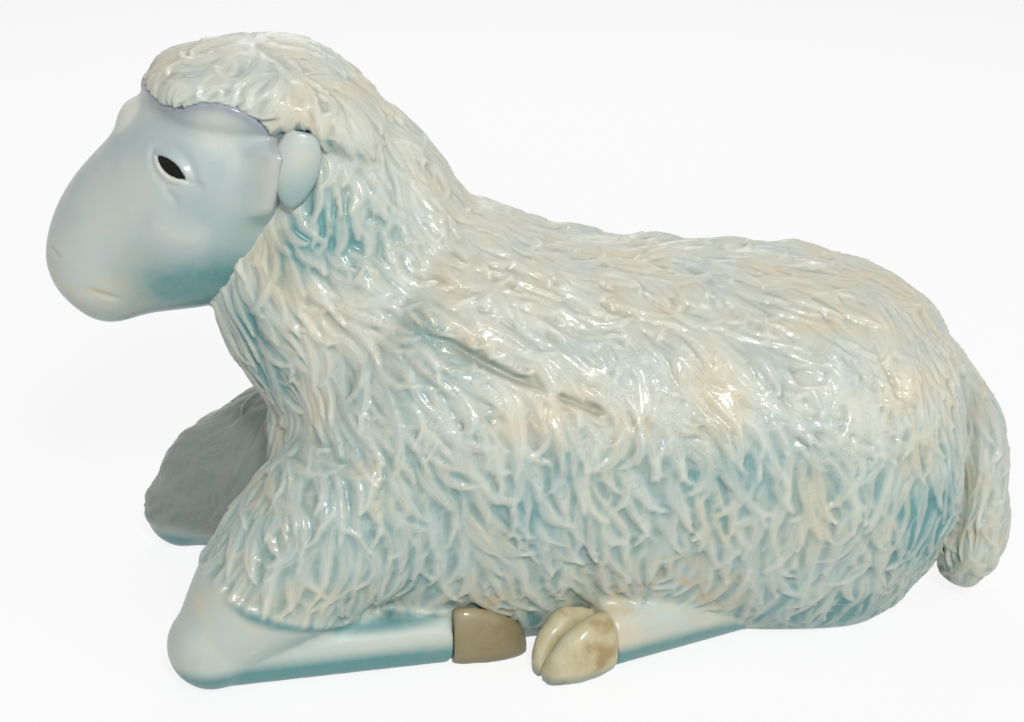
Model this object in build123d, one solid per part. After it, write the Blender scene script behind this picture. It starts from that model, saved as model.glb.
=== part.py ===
from build123d import *
import math
import os

os.makedirs("parts", exist_ok=True)

# Lying sheep cast in resin. Millimetres, head towards -X, the animal's left side is -Y, +Z up.
# The origin is the middle of the base plate, at the height of what the figure stands on.

# Trunk: two hollow half castings that meet on the plane Y = 0
trunk_length = 288.0
trunk_width = 156.0
trunk_height = 174.5
chest_reach = 118.0
wall = 5.0
floor_thickness = 5.0

# along is a share of the length, the rest are shares of height, height and width
trunk_station_shares = [
    (0.000, 0.395, 0.070, 0.090),
    (0.020, 0.395, 0.194, 0.218),
    (0.062, 0.402, 0.312, 0.335),
    (0.132, 0.424, 0.450, 0.430),
    (0.243, 0.453, 0.560, 0.474),
    (0.375, 0.440, 0.524, 0.487),
    (0.514, 0.420, 0.488, 0.494),
    (0.653, 0.405, 0.478, 0.500),
    (0.774, 0.392, 0.482, 0.496),
    (0.861, 0.383, 0.456, 0.466),
    (0.927, 0.385, 0.395, 0.402),
    (0.972, 0.392, 0.308, 0.316),
    (0.993, 0.392, 0.200, 0.200),
    (1.000, 0.384, 0.085, 0.085),
]

# Neck: part of the same two castings, leaning forward out of the withers
neck_length = 125.0
neck_depth = 117.0
neck_width = 110.0
neck_lean = 25.5
neck_root_inset = 59.0
neck_root_sink = 70.5

# along, offset to the back, half depth, half width
neck_station_shares = [
    (0.00, 0.000, 0.480, 0.540),
    (0.24, -0.010, 0.500, 0.480),
    (0.44, -0.022, 0.495, 0.425),
    (0.64, -0.008, 0.445, 0.375),
    (0.82, 0.020, 0.350, 0.330),
    (0.94, 0.010, 0.230, 0.250),
    (1.00, 0.000, 0.120, 0.150),
]

# Main locks of the wool: low mounds on the body castings
lock_half_length = 15.5
lock_half_width = 8.5
lock_depth = 6.0
lock_proud = 2.2
probe_share = 0.01

# along the trunk, round from belly to ridge, droop as a share of the turn from level to straight down
trunk_lock_shares = [
    (0.340, 0.45, 0.85),
    (0.450, 0.44, 0.95),
    (0.560, 0.45, 1.05),
    (0.670, 0.44, 0.95),
    (0.780, 0.45, 1.00),
    (0.880, 0.45, 1.05),
    (0.290, 0.58, 0.60),
    (0.396, 0.57, 0.75),
    (0.507, 0.58, 0.90),
    (0.618, 0.57, 1.00),
    (0.729, 0.58, 0.85),
    (0.833, 0.57, 0.95),
    (0.935, 0.55, 0.95),
    (0.149, 0.69, 0.45),
    (0.240, 0.72, 0.40),
    (0.347, 0.71, 0.45),
    (0.451, 0.70, 0.60),
    (0.562, 0.71, 0.50),
    (0.674, 0.70, 0.60),
    (0.778, 0.71, 0.65),
    (0.880, 0.70, 0.80),
    (0.400, 0.84, 0.30),
    (0.507, 0.84, 0.35),
    (0.618, 0.84, 0.30),
    (0.729, 0.84, 0.35),
    (0.833, 0.83, 0.50),
    (0.455, 0.94, 0.08),
    (0.566, 0.94, 0.10),
    (0.677, 0.94, 0.08),
    (0.790, 0.94, 0.14),
]

# along the neck, round from throat to nape, swing away from straight down the neck
neck_lock_shares = [
    (0.40, 0.30, 0.10),
    (0.42, 0.55, 0.15),
    (0.44, 0.78, 0.20),
    (0.60, 0.44, 0.10),
    (0.62, 0.66, 0.10),
    (0.70, 0.86, 0.10),
]

# Head: one solid casting let into the front of the neck
head_length = 108.5
head_depth = 88.0
head_width = 76.0
head_pitch = 30.0
head_set_back = 6.8
head_drop = 13.3

# along, offset upwards, half depth, half width
head_station_shares = [
    (0.00, -0.020, 0.420, 0.440),
    (0.08, -0.024, 0.460, 0.480),
    (0.18, -0.028, 0.485, 0.500),
    (0.31, -0.040, 0.500, 0.500),
    (0.47, -0.062, 0.466, 0.462),
    (0.63, -0.060, 0.408, 0.383),
    (0.79, -0.056, 0.330, 0.310),
    (0.905, -0.082, 0.258, 0.262),
    (0.97, -0.082, 0.170, 0.188),
    (1.00, -0.076, 0.070, 0.090),
]

# Brow: fills out the forehead under the cap
brow_along = 26.3
brow_up = 14.6
brow_half_length = 24.0
brow_half_width = 34.0
brow_half_depth = 20.0

# Wool cap: a separate casting over the poll
cap_length = 96.5
cap_height = 45.0
cap_width = 85.0
cap_overhang = 53.0
cap_lift = 17.5

# along, offset upwards, half height, half width
cap_station_shares = [
    (0.00, 0.060, 0.080, 0.110),
    (0.04, 0.050, 0.180, 0.250),
    (0.11, 0.040, 0.310, 0.370),
    (0.26, 0.010, 0.430, 0.465),
    (0.49, 0.000, 0.500, 0.500),
    (0.71, -0.130, 0.490, 0.490),
    (0.89, -0.370, 0.440, 0.445),
    (1.00, -0.530, 0.240, 0.300),
]
cap_dowel_radius = 2.5
cap_dowel_length = 13.0
cap_dowel_spread = 30.0
cap_dowel_ahead = 18.0
cap_dowel_rise = 15.0

# Ears: drooping leaves under the cap, each with its own peg
ear_length = 28.0
ear_width = 18.0
ear_thickness = 7.0
ear_root_behind = 8.5
ear_root_lift = 8.0
ear_side_share = 0.345
ear_sweep = -6.0
ear_flare = 4.0
ear_peg_radius = 2.5
ear_peg_length = 12.0

# along, half width, half thickness
ear_station_shares = [
    (0.00, 0.30, 0.34),
    (0.18, 0.44, 0.46),
    (0.42, 0.50, 0.50),
    (0.68, 0.42, 0.44),
    (0.90, 0.24, 0.30),
    (1.00, 0.08, 0.14),
]

# Eyes: glass beads in round sockets
eye_radius = 6.2
eye_along = 38.2
eye_up = 13.7
eye_side_share = 0.438
eye_sink = 5.0

# Forelegs: forearm down to a folded knee, cannon back along the ground
knee_radius = 17.5
knee_ahead = 21.0
knee_tuck = 11.0
elbow_radius = 43.0
elbow_inset = 46.0
elbow_height = 64.0
elbow_tuck = 43.0
forearm_radius = 34.0
forearm_arch = 5.0
right_knee_advance = 21.0
cannon_radius = 13.0
fetlock_radius = 11.6
fore_fetlock_inset = 71.5
fore_fetlock_tuck = 24.0
ground_press = 1.0

# Hind feet: shanks that come out from under the flank
hock_radius = 20.0
hock_inset = 78.0
hock_tuck = 52.0
hind_fetlock_radius = 13.5
hind_fetlock_inset = 157.0
hind_fetlock_tuck = 14.0

# Hooves: two claws each
claw_length = 28.0
claw_gap = 1.2

# along, offset upwards as a share of the leg's radius, half height and half width likewise
claw_station_shares = [
    (0.00, 0.02, 0.90, 0.47),
    (0.30, 0.02, 0.98, 0.52),
    (0.62, -0.12, 0.84, 0.48),
    (0.88, -0.36, 0.56, 0.36),
    (1.00, -0.60, 0.26, 0.20),
]

# Tail: hangs behind the rump to the ground
tail_depth = 30.0
tail_width = 42.0
tail_root_sink = 55.5
tail_root_inset = 18.0
tail_stand = 16.5
tail_sway = 11.0

# height along the drop from the root, back reach past the root as a share of the bow, half sizes
tail_station_shares = [
    (0.00, 0.00, 0.20, 0.22),
    (0.08, 0.22, 0.38, 0.38),
    (0.24, 0.57, 0.46, 0.46),
    (0.45, 0.84, 0.50, 0.50),
    (0.66, 0.93, 0.53, 0.54),
    (0.84, 0.87, 0.56, 0.55),
    (0.95, 0.80, 0.46, 0.46),
    (1.00, 0.76, 0.24, 0.26),
]

# Underside: felt sheet, base plate, screws into blocks bonded above the floor
felt_thickness = 1.5
felt_margin = 9.0
plate_length = 150.0
plate_width = 54.0
plate_clearance = 0.3
block_length = 15.0
block_width = 17.0
block_height = 12.0
block_pitch = 92.0
screw_radius = 1.75
screw_head_radius = 3.6
screw_length = 14.0
screw_inset = 5.0

# Ballast: a cast block bonded to the base plate
ballast_length = 78.0
ballast_width = 32.0
ballast_height = 34.0
ballast_back = 14.0
ballast_round = 4.0

# Bolts that hold the outer castings to the body, each with a washer on a flat boss
bolt_radius = 3.0
bolt_length = 30.0
bolt_head_radius = 5.5
bolt_head_height = 4.0
washer_radius = 7.0
washer_thickness = 1.5
boss_radius = 9.0
boss_depth = 12.0
shoulder_seat_ahead = 18.0
shoulder_seat_out = 11.0
shoulder_seat_drop = 12.0
hock_seat_share = 0.42
tail_seat_height = 62.0

# Tape laminated over the inside of the seam
tape_width = 28.0
tape_thickness = 1.6

fit_clearance = 0.15
overrun = 1.0

belly_height = felt_thickness
floor_top = belly_height + floor_thickness
whole_length = trunk_length + cap_length + head_length
chest = -chest_reach
rump = chest + trunk_length
flank = trunk_width / 2
lean = math.radians(neck_lean)
pitch = math.radians(head_pitch)


def facing(point, direction):
    """A plane at point that faces along direction, with its own x level across."""
    level = Vector(0, 0, 1).cross(direction)
    if level.length < math.sin(math.radians(1)):
        level = Vector(0, 1, 0)
    return Plane(origin=point, x_dir=level.normalized(), z_dir=direction.normalized())


def oval(plane, half_across, half_up):
    return plane * Ellipse(half_across, half_up)


def rod(start, direction, radius, length):
    """A round bar that starts at a point and runs along a direction."""
    middle = start + direction.normalized() * (length / 2)
    return facing(middle, direction) * Cylinder(radius, length)


def above(height):
    """Everything over a level, as one large block."""
    block = Box(whole_length * 2, whole_length * 2, whole_length)
    return Pos(0, 0, height + whole_length / 2) * block


def side(sign):
    """Everything on one side of the plane Y = 0."""
    block = Box(whole_length * 2, whole_length, whole_length * 2)
    return Pos(0, sign * whole_length / 2, 0) * block


def trunk(inset):
    """The trunk's oval loft, drawn in by a wall where inset is more than zero."""
    stations = trunk_station_shares[1:-1] if inset else trunk_station_shares
    ovals = []
    for along, middle, half_height, half_width in stations:
        x = chest + inset + along * (trunk_length - 2 * inset)
        plane = Plane(origin=(x, 0, middle * trunk_height), x_dir=(0, 1, 0), z_dir=(1, 0, 0))
        ovals.append(oval(plane, half_width * trunk_width - inset, half_height * trunk_height - inset))
    return loft(ovals)


neck_axis = Vector(-math.sin(lean), 0, math.cos(lean))
neck_root = Vector(chest + neck_root_inset, 0, trunk_height - neck_root_sink)
neck_top = neck_root + neck_axis * neck_length


def neck(inset):
    """The neck's loft, along an axis that leans forward."""
    back = Vector(math.cos(lean), 0, math.sin(lean))
    stations = neck_station_shares[:-1] if inset else neck_station_shares
    ovals = []
    for along, offset, half_depth, half_width in stations:
        centre = neck_root + neck_axis * (along * (neck_length - inset)) + back * (offset * neck_depth)
        plane = Plane(origin=centre, x_dir=(0, 1, 0), z_dir=neck_axis)
        ovals.append(oval(plane, half_width * neck_width - inset, half_depth * neck_depth - inset))
    return loft(ovals)


def read_shares(stations, along):
    """A station's shares at any share of the length, in line with its neighbours."""
    for before, after in zip(stations, stations[1:]):
        if along <= after[0]:
            part = (along - before[0]) / (after[0] - before[0])
            return [b + (a - b) * part for b, a in zip(before, after)]
    return stations[-1]


def trunk_spot(along, turn, sign):
    """A point on the trunk, from belly to ridge on one side."""
    middle, half_height, half_width = read_shares(trunk_station_shares, along)[1:]
    angle = math.pi * (turn - 1 / 2)
    across = sign * half_width * trunk_width * math.cos(angle)
    return Vector(chest + along * trunk_length, across, (middle + half_height * math.sin(angle)) * trunk_height)


def neck_spot(along, turn, sign):
    """A point on the neck, from throat to nape on one side, counted from the neck's top."""
    offset, half_depth, half_width = read_shares(neck_station_shares, 1 - along)[1:]
    back = Vector(math.cos(lean), 0, math.sin(lean))
    angle = math.pi * (turn - 1 / 2)
    point = neck_top - neck_axis * (along * neck_length)
    point += back * ((offset + half_depth * math.sin(angle)) * neck_depth)
    return point + Vector(0, sign * half_width * neck_width * math.cos(angle), 0)


def lock(spot, along, turn, swing, sign):
    """A mound let into the surface, that runs onward and swings down or round by a share of a right angle."""
    here = spot(along, turn, sign)
    onward = (spot(along + probe_share, turn, sign) - here).normalized()
    around = (spot(along, turn - probe_share, sign) - here).normalized()
    middle = (spot(along, 0, sign) + spot(along, 1, sign)) / 2
    out = onward.cross(around).normalized()
    if out.dot(here - middle) < 0:
        out = -out
    angle = swing * math.pi / 2
    way = onward * math.cos(angle) + around * math.sin(angle)
    mound = scale(Sphere(1), by=(lock_half_length, lock_half_width, lock_depth))
    return Plane(origin=here - out * (lock_depth - lock_proud), x_dir=way, z_dir=out) * mound


def wool_locks():
    locks = []
    for sign in (-1, 1):
        locks += [lock(trunk_spot, *place, sign) for place in trunk_lock_shares]
        locks += [lock(neck_spot, 1 - along, turn, swing, sign) for along, turn, swing in neck_lock_shares]
    return locks


head_axis = Vector(-math.cos(pitch), 0, -math.sin(pitch))
head_up = Vector(-math.sin(pitch), 0, math.cos(pitch))
head_back = neck_top + Vector(head_set_back, 0, -head_drop)


def on_head(along, side_reach, up_reach):
    """A point in the head's own directions: from its back to the nose, to the side, and up."""
    return head_back + head_axis * along + Vector(0, side_reach, 0) + head_up * up_reach


def brow():
    ball = scale(Sphere(1), by=(brow_half_length, brow_half_width, brow_half_depth))
    return Pos(*on_head(brow_along, 0, brow_up)) * ball


def head_form(outset):
    """The head's loft. A positive outset gives the cup that it sits in."""
    ovals = []
    for along, offset, half_depth, half_width in head_station_shares:
        reach = along * (head_length + 2 * outset) - outset
        centre = head_back + head_axis * reach + head_up * (offset * head_depth)
        plane = Plane(origin=centre, x_dir=(0, 1, 0), z_dir=head_axis)
        ovals.append(oval(plane, half_width * head_width + outset, half_depth * head_depth + outset))
    return loft(ovals)


def cap_form():
    ovals = []
    for along, offset, half_height, half_width in cap_station_shares:
        shift = Vector(along * cap_length - cap_overhang, 0, cap_lift + offset * cap_height)
        centre = head_back + shift
        plane = Plane(origin=centre, x_dir=(0, 1, 0), z_dir=(1, 0, 0))
        ovals.append(oval(plane, half_width * cap_width, half_height * cap_height))
    return loft(ovals)


def limb(points, radii):
    """A loft of circles along a line of points."""
    rings = []
    for i, (point, radius) in enumerate(zip(points, radii)):
        before = points[max(i - 1, 0)]
        after = points[min(i + 1, len(points) - 1)]
        rings.append(facing(point, after - before) * Circle(radius))
    return loft(rings)


def between(start, end, share):
    return start + (end - start) * share


def on_ground(x, tuck, sign, radius):
    """The middle of a limb that presses lightly on the ground, tucked in from the flank."""
    return Vector(x, sign * (flank - tuck), radius - ground_press)


def fore_points(sign):
    """Elbow, knee and fetlock of a foreleg. The right knee lies further forward."""
    advance = right_knee_advance if sign > 0 else 0
    elbow = Vector(chest + elbow_inset, sign * (flank - elbow_tuck), elbow_height)
    knee = on_ground(chest - knee_ahead - advance, knee_tuck, sign, knee_radius)
    fetlock = on_ground(chest + fore_fetlock_inset, fore_fetlock_tuck, sign, fetlock_radius)
    return elbow, knee, fetlock


def foreleg(sign):
    elbow, knee, fetlock = fore_points(sign)
    heel = Vector(knee.X, knee.Y, cannon_radius - ground_press)
    forearm = limb(
        [elbow, between(elbow, knee, 1 / 2) + Vector(0, 0, forearm_arch), knee],
        [elbow_radius, forearm_radius, knee_radius],
    )
    cannon = limb(
        [heel, between(heel, fetlock, 1 / 2), fetlock],
        [cannon_radius, (cannon_radius + fetlock_radius) / 2, fetlock_radius],
    )
    knob = Pos(*knee) * Sphere(knee_radius)
    return (forearm + knob + cannon) & above(0)


def hind_points(sign):
    hock = on_ground(rump - hock_inset, hock_tuck, sign, hock_radius)
    fetlock = on_ground(rump - hind_fetlock_inset, hind_fetlock_tuck, sign, hind_fetlock_radius)
    return hock, fetlock


def hind_foot(sign):
    hock, fetlock = hind_points(sign)
    shank_radius = (hock_radius + hind_fetlock_radius) / 2
    shank = limb([hock, between(hock, fetlock, 1 / 2), fetlock], [hock_radius, shank_radius, hind_fetlock_radius])
    return shank & above(0)


def hoof(fetlock, behind, radius, leg):
    """Two claws that carry a leg on past its fetlock, along the leg's own line."""
    direction = fetlock - behind
    across = Vector(0, 0, 1).cross(direction).normalized()
    claws = []
    for turn in (-1, 1):
        ovals = []
        for along, offset, half_height, half_width in claw_station_shares:
            half = half_width * radius
            centre = fetlock + direction.normalized() * (along * claw_length)
            centre += across * (turn * (half + claw_gap / 2)) + Vector(0, 0, offset * radius)
            ovals.append(oval(facing(centre, direction), half, half_height * radius))
        claws.append(one_solid((loft(ovals) & above(0)) - body_outside - leg))
    return Compound(claws)


def tail_form():
    ovals = []
    top = trunk_height - tail_root_sink
    drop = top - ground_press
    root = rump - tail_root_inset
    bow = tail_root_inset + tail_stand
    for down, reach, half_depth, half_width in tail_station_shares:
        centre = (root + reach * bow, -down * tail_sway, top - down * drop)
        plane = Plane(origin=centre, x_dir=(0, 1, 0), z_dir=(0, 0, -1))
        ovals.append(oval(plane, half_width * tail_width, half_depth * tail_depth))
    return loft(ovals) & above(0)


def ear_line(sign):
    """Root and tip of an ear, against the side of the neck."""
    root = head_back + Vector(ear_root_behind, sign * ear_side_share * neck_width, ear_root_lift)
    return root, root + Vector(ear_sweep, sign * ear_flare, -ear_length)


def ear(sign):
    """A leaf that hangs from under the cap."""
    root, tip = ear_line(sign)
    direction = (tip - root).normalized()
    ovals = []
    for along, half_width, half_thickness in ear_station_shares:
        plane = Plane(origin=between(root, tip, along), x_dir=(1, 0, 0), z_dir=direction)
        ovals.append(oval(plane, half_width * ear_width, half_thickness * ear_thickness))
    return loft(ovals)


def ear_peg(sign, radius, length):
    root, tip = ear_line(sign)
    return rod(between(root, tip, 1 / 4), Vector(0, -sign, 0), radius, length)


def bead(sign, radius):
    side_reach = sign * (eye_side_share * head_width - eye_sink)
    return Pos(*on_head(eye_along, side_reach, eye_up)) * Sphere(radius)


# Where each bolt's washer sits, and the way that its shank runs
def bolt_seats():
    seats = []
    for sign in (-1, 1):
        elbow = fore_points(sign)[0]
        shift = Vector(-shoulder_seat_ahead, sign * shoulder_seat_out, -shoulder_seat_drop)
        seats.append((elbow + shift, Vector(0, sign, 0)))
        hock, fetlock = hind_points(sign)
        seats.append((between(hock, fetlock, hock_seat_share), fetlock - hock))
    seats.append((Vector(rump - wall - boss_depth, 0, tail_seat_height), Vector(1, 0, 0)))
    seats.append((head_back - head_axis * (wall + washer_thickness), head_axis))
    return seats


def bolt(seat, way):
    way = way.normalized()
    shank = rod(seat - way * washer_thickness, way, bolt_radius, bolt_length)
    hexagon = extrude(
        facing(seat - way * washer_thickness, -way) * RegularPolygon(bolt_head_radius, 6),
        bolt_head_height,
    )
    return shank + hexagon


def washer(seat, way):
    way = way.normalized()
    disc = rod(seat, -way, washer_radius, washer_thickness)
    return disc - rod(seat + way * overrun, -way, bolt_radius + fit_clearance, bolt_length)


def bolt_hole(seat, way):
    way = way.normalized()
    return rod(seat - way * overrun, way, bolt_radius + fit_clearance, bolt_length + overrun)


def room_for_head(seat, way):
    """Clear space behind a washer, so that nothing else fills it."""
    return rod(seat, -way, washer_radius + fit_clearance, bolt_head_height + washer_thickness + overrun)


def boss(seat, way):
    return rod(seat, way, boss_radius, bolt_length)


def slot_block(length, width, low, high):
    return Pos(0, 0, low) * extrude(SlotOverall(length, width), high - low)


def block_places():
    return [(x * block_pitch / 2, y * plate_width / 2, y) for x in (-1, 1) for y in (-1, 1)]


def one_solid(shape):
    """The largest solid of a shape, so that a trimmed crumb never travels with a casting."""
    return max(shape.solids(), key=lambda s: s.volume)


def write(name, shape):
    export_step(shape, f"parts/{name}.step")


# The whole outside of the body and what is hollowed out of it
body_outside = trunk(0) + neck(0)
head_whole = head_form(0) + brow()
hollow = trunk(wall) + neck(wall)
hollow &= above(floor_top)
cup = head_form(wall)
hollow -= cup
seats = bolt_seats()
for seat, way in seats:
    hollow -= boss(seat, way)
for seat, way in seats:
    hollow += room_for_head(seat, way)

peg_holes = [ear_peg(sign, ear_peg_radius + fit_clearance, ear_peg_length + overrun) for sign in (-1, 1)]
opening = slot_block(plate_length, plate_width, belly_height - overrun, floor_top + overrun)
fleece = body_outside + wool_locks()
body = (fleece & above(belly_height)) - hollow - head_whole - opening
for seat, way in seats:
    body -= bolt_hole(seat, way)
for hole in peg_holes:
    body -= hole
for sign, name in ((-1, "body_shell_left"), (1, "body_shell_right")):
    write(name, one_solid(body & side(sign)))

# Head with its sockets for the eyes, ears, cap dowels and bolt
dowel_foot = head_back + Vector(-cap_dowel_ahead, 0, cap_lift + cap_dowel_rise - cap_dowel_length)
dowel_places = [dowel_foot + Vector(0, y * cap_dowel_spread / 2, 0) for y in (-1, 1)]
up = Vector(0, 0, 1)
cap_dowels = [rod(place, up, cap_dowel_radius, cap_dowel_length) for place in dowel_places]
dowel_holes = [
    rod(place - up * overrun, up, cap_dowel_radius + fit_clearance, cap_dowel_length + 2 * overrun)
    for place in dowel_places
]
head = head_whole
for sign in (-1, 1):
    head -= bead(sign, eye_radius + fit_clearance)
for hole in dowel_holes + peg_holes:
    head -= hole
for seat, way in seats[-1:]:
    head -= bolt_hole(seat, way)
head = one_solid(head)
write("head", head)

cap = cap_form() - head_whole - body_outside
for sign in (-1, 1):
    cap -= ear(sign)
for hole in dowel_holes + peg_holes:
    cap -= hole
write("wool_cap", one_solid(cap))
write("cap_dowels", Compound([s for d in cap_dowels for s in d.solids()]))

for sign, name in ((-1, "left"), (1, "right")):
    leaf = one_solid(ear(sign) - body_outside - head_whole)
    write(f"ear_{name}", one_solid(leaf + ear_peg(sign, ear_peg_radius, ear_peg_length)))
    write(f"eye_{name}", bead(sign, eye_radius))

# Legs, hooves and tail, each trimmed to the body that it is bolted to
for sign, name in ((-1, "left"), (1, "right")):
    leg = foreleg(sign) - body_outside
    foot = hind_foot(sign) - body_outside
    elbow, knee, fetlock = fore_points(sign)
    hock, hind_fetlock = hind_points(sign)
    for seat, way in seats:
        leg -= bolt_hole(seat, way)
        foot -= bolt_hole(seat, way)
    leg = one_solid(leg)
    foot = one_solid(foot)
    write(f"foreleg_{name}", leg)
    write(f"hind_foot_{name}", foot)
    heel = Vector(knee.X, knee.Y, cannon_radius - ground_press)
    write(f"hoof_fore_{name}", hoof(fetlock, heel, fetlock_radius, leg))
    write(f"hoof_hind_{name}", hoof(hind_fetlock, hock, hind_fetlock_radius, foot))

tail = tail_form() - body_outside
for seat, way in seats:
    tail -= bolt_hole(seat, way)
write("tail", one_solid(tail))

# Fasteners inside the body
write("casting_bolts", Compound([s for seat, way in seats for s in bolt(seat, way).solids()]))
write("casting_washers", Compound([s for seat, way in seats for s in washer(seat, way).solids()]))

# Tape over the inside of the seam, clear of the bosses and the opening in the floor
lining = trunk(wall + tape_thickness) + neck(wall + tape_thickness)
lining &= above(floor_top + tape_thickness)
band = Pos(0, 0, whole_length / 2) * Box(whole_length * 2, tape_width, whole_length)
tape = (trunk(wall) + neck(wall)) & above(floor_top) & band
tape = tape - lining - head_form(wall)
tape -= slot_block(plate_length, plate_width, belly_height, floor_top + boss_depth)
for seat, way in seats:
    tape -= rod(seat - way.normalized() * boss_depth, way, boss_radius + fit_clearance, 3 * boss_depth)
write("seam_tape", one_solid(tape))

# Base plate with countersunk holes, its screws and the blocks that they bite into
plate = slot_block(
    plate_length - 2 * plate_clearance,
    plate_width - 2 * plate_clearance,
    belly_height,
    floor_top,
)
screws = []
blocks = []
for x, y, turn in block_places():
    at = Vector(x, y - turn * screw_inset, belly_height)
    sink = Pos(*(at + up * (screw_head_radius / 2))) * Cone(
        screw_head_radius, screw_radius, screw_head_radius
    )
    shaft = rod(at, up, screw_radius, screw_length)
    screws.append(sink + shaft)
    grown = screw_head_radius + fit_clearance
    plate -= Pos(*(at + up * (grown / 2))) * Cone(grown, screw_radius + fit_clearance, grown)
    plate -= rod(at - up * overrun, up, screw_radius + fit_clearance, screw_length)
    block = Pos(x, y, floor_top + block_height / 2) * Box(block_length, block_width, block_height)
    blocks.append(block - rod(at, up, screw_radius + fit_clearance, screw_length + fit_clearance))
write("base_plate", plate)
write("base_screws", Compound([s for screw in screws for s in screw.solids()]))
write("screw_blocks", Compound([s for block in blocks for s in block.solids()]))

ballast = Pos(ballast_back, 0, floor_top + ballast_height / 2) * Box(
    ballast_length, ballast_width, ballast_height
)
write("ballast_block", fillet(ballast.edges().filter_by(Axis.Z), ballast_round))

felt = slot_block(plate_length + 2 * felt_margin, plate_width + 2 * felt_margin, 0, felt_thickness)
write("felt_base", felt)
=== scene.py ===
import math
import time

import bpy
import numpy as np
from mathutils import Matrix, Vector
from mathutils.bvhtree import BVHTree
from mathutils.kdtree import KDTree


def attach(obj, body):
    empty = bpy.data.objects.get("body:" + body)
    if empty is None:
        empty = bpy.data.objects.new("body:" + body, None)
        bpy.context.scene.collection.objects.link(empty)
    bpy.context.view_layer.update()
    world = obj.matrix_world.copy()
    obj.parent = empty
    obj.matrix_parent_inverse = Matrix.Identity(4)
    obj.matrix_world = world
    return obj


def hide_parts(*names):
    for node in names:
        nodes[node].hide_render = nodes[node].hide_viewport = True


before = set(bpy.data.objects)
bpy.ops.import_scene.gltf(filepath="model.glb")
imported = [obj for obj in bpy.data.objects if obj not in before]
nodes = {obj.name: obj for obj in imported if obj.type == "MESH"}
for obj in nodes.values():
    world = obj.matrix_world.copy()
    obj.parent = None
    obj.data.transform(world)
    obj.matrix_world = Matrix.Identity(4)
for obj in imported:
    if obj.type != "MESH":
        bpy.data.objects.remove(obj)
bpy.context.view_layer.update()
mm = 0.001
dice = np.random.default_rng(41)
began = time.time()


def report(*words):
    print(f"{time.time() - began:6.1f} s ", *words)


def addObject(name, data):
    item = bpy.data.objects.new(name, data)
    bpy.context.scene.collection.objects.link(item)
    return item


# camera at the photo's viewing angle
photoCamera = {
    "target": (-0.01634, 0.0, 0.10613),
    "azimuth": -5.0, "elevation": 19.0, "distance": 0.760,
    "focalPixels": 1842.83, "imageWidth": 1024, "sensor": 36.0,
}


def makeCamera(look):
    turn, rise = math.radians(look["azimuth"]), math.radians(look["elevation"])
    target = Vector(look["target"])
    level = math.cos(rise)
    back = Vector((math.sin(turn) * level, -math.cos(turn) * level, math.sin(rise)))
    data = bpy.data.cameras.new("photoCamera")
    data.sensor_width = look["sensor"]
    data.lens = look["focalPixels"] / look["imageWidth"] * look["sensor"]
    data.clip_start, data.clip_end = 0.05, 30
    camera = addObject("photoCamera", data)
    camera.location = target + back * look["distance"]
    camera.rotation_euler = (-back).to_track_quat("-Z", "Y").to_euler()
    bpy.context.scene.camera = camera


makeCamera(photoCamera)
report("camera made")


# mesh arrays in and out
def readArray(items, key, width, kind):
    out = np.empty(len(items) * width, kind)
    items.foreach_get(key, out)
    return out.reshape(-1, width)


def nodeArrays(name):
    mesh = nodes[name].data
    mesh.calc_loop_triangles()
    co = readArray(mesh.vertices, "co", 3, np.float32)
    return co.astype(float), readArray(mesh.loop_triangles, "vertices", 3, np.int32)


def joinArrays(parts):
    cos, tris, start = [], [], 0
    for co, tri in parts:
        cos.append(co)
        tris.append(tri + start)
        start += len(co)
    return np.concatenate(cos), np.concatenate(tris)


def makeMesh(name, co, faces, caps=None):
    mesh = bpy.data.meshes.new(name)
    loops = faces.ravel() if caps is None else np.concatenate([faces.ravel(), caps.ravel()])
    starts = np.arange(len(faces)) * faces.shape[1]
    if caps is not None:
        starts = np.concatenate([starts, faces.size + np.arange(len(caps)) * 3])
    mesh.vertices.add(len(co))
    mesh.vertices.foreach_set("co", co.astype(np.float32).ravel())
    mesh.loops.add(len(loops))
    mesh.loops.foreach_set("vertex_index", loops.astype(np.int32))
    mesh.polygons.add(len(starts))
    mesh.polygons.foreach_set("loop_start", starts.astype(np.int32))
    mesh.update(calc_edges=True)
    mesh.polygons.foreach_set("use_smooth", np.ones(len(starts), bool))
    return mesh


def modified(co, faces, kind, **settings):
    mesh = makeMesh("work", co, faces)
    work = addObject("work", mesh)
    step = work.modifiers.new("step", kind)
    for key, value in settings.items():
        setattr(step, key, value)
    result = work.evaluated_get(bpy.context.evaluated_depsgraph_get()).to_mesh()
    out = readArray(result.vertices, "co", 3, np.float32).astype(float)
    quads = readArray(result.loops, "vertex_index", 1, np.int32).reshape(-1, 4)
    bpy.data.objects.remove(work)
    bpy.data.meshes.remove(mesh)
    return out, quads


def edgesOf(quads):
    sides = quads.shape[1]
    pairs = np.concatenate([quads[:, [i, (i + 1) % sides]] for i in range(sides)])
    return np.unique(np.sort(pairs, axis=1), axis=0)


def groupsOf(count, pairs):
    label = np.arange(count)
    while True:
        low = np.minimum(label[pairs[:, 0]], label[pairs[:, 1]])
        new = label.copy()
        np.minimum.at(new, pairs[:, 0], low)
        np.minimum.at(new, pairs[:, 1], low)
        new = new[new]
        if (new == label).all():
            return label
        label = new


def largestPart(co, quads):
    label = groupsOf(len(co), edgesOf(quads))
    keep = label == np.bincount(label).argmax()
    index = np.cumsum(keep) - 1
    return co[keep], index[quads[keep[quads[:, 0]]]]


evenOut = {"step": 0.5, "back": 0.52}  # share of the way to the neighbours, and back out again


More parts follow.
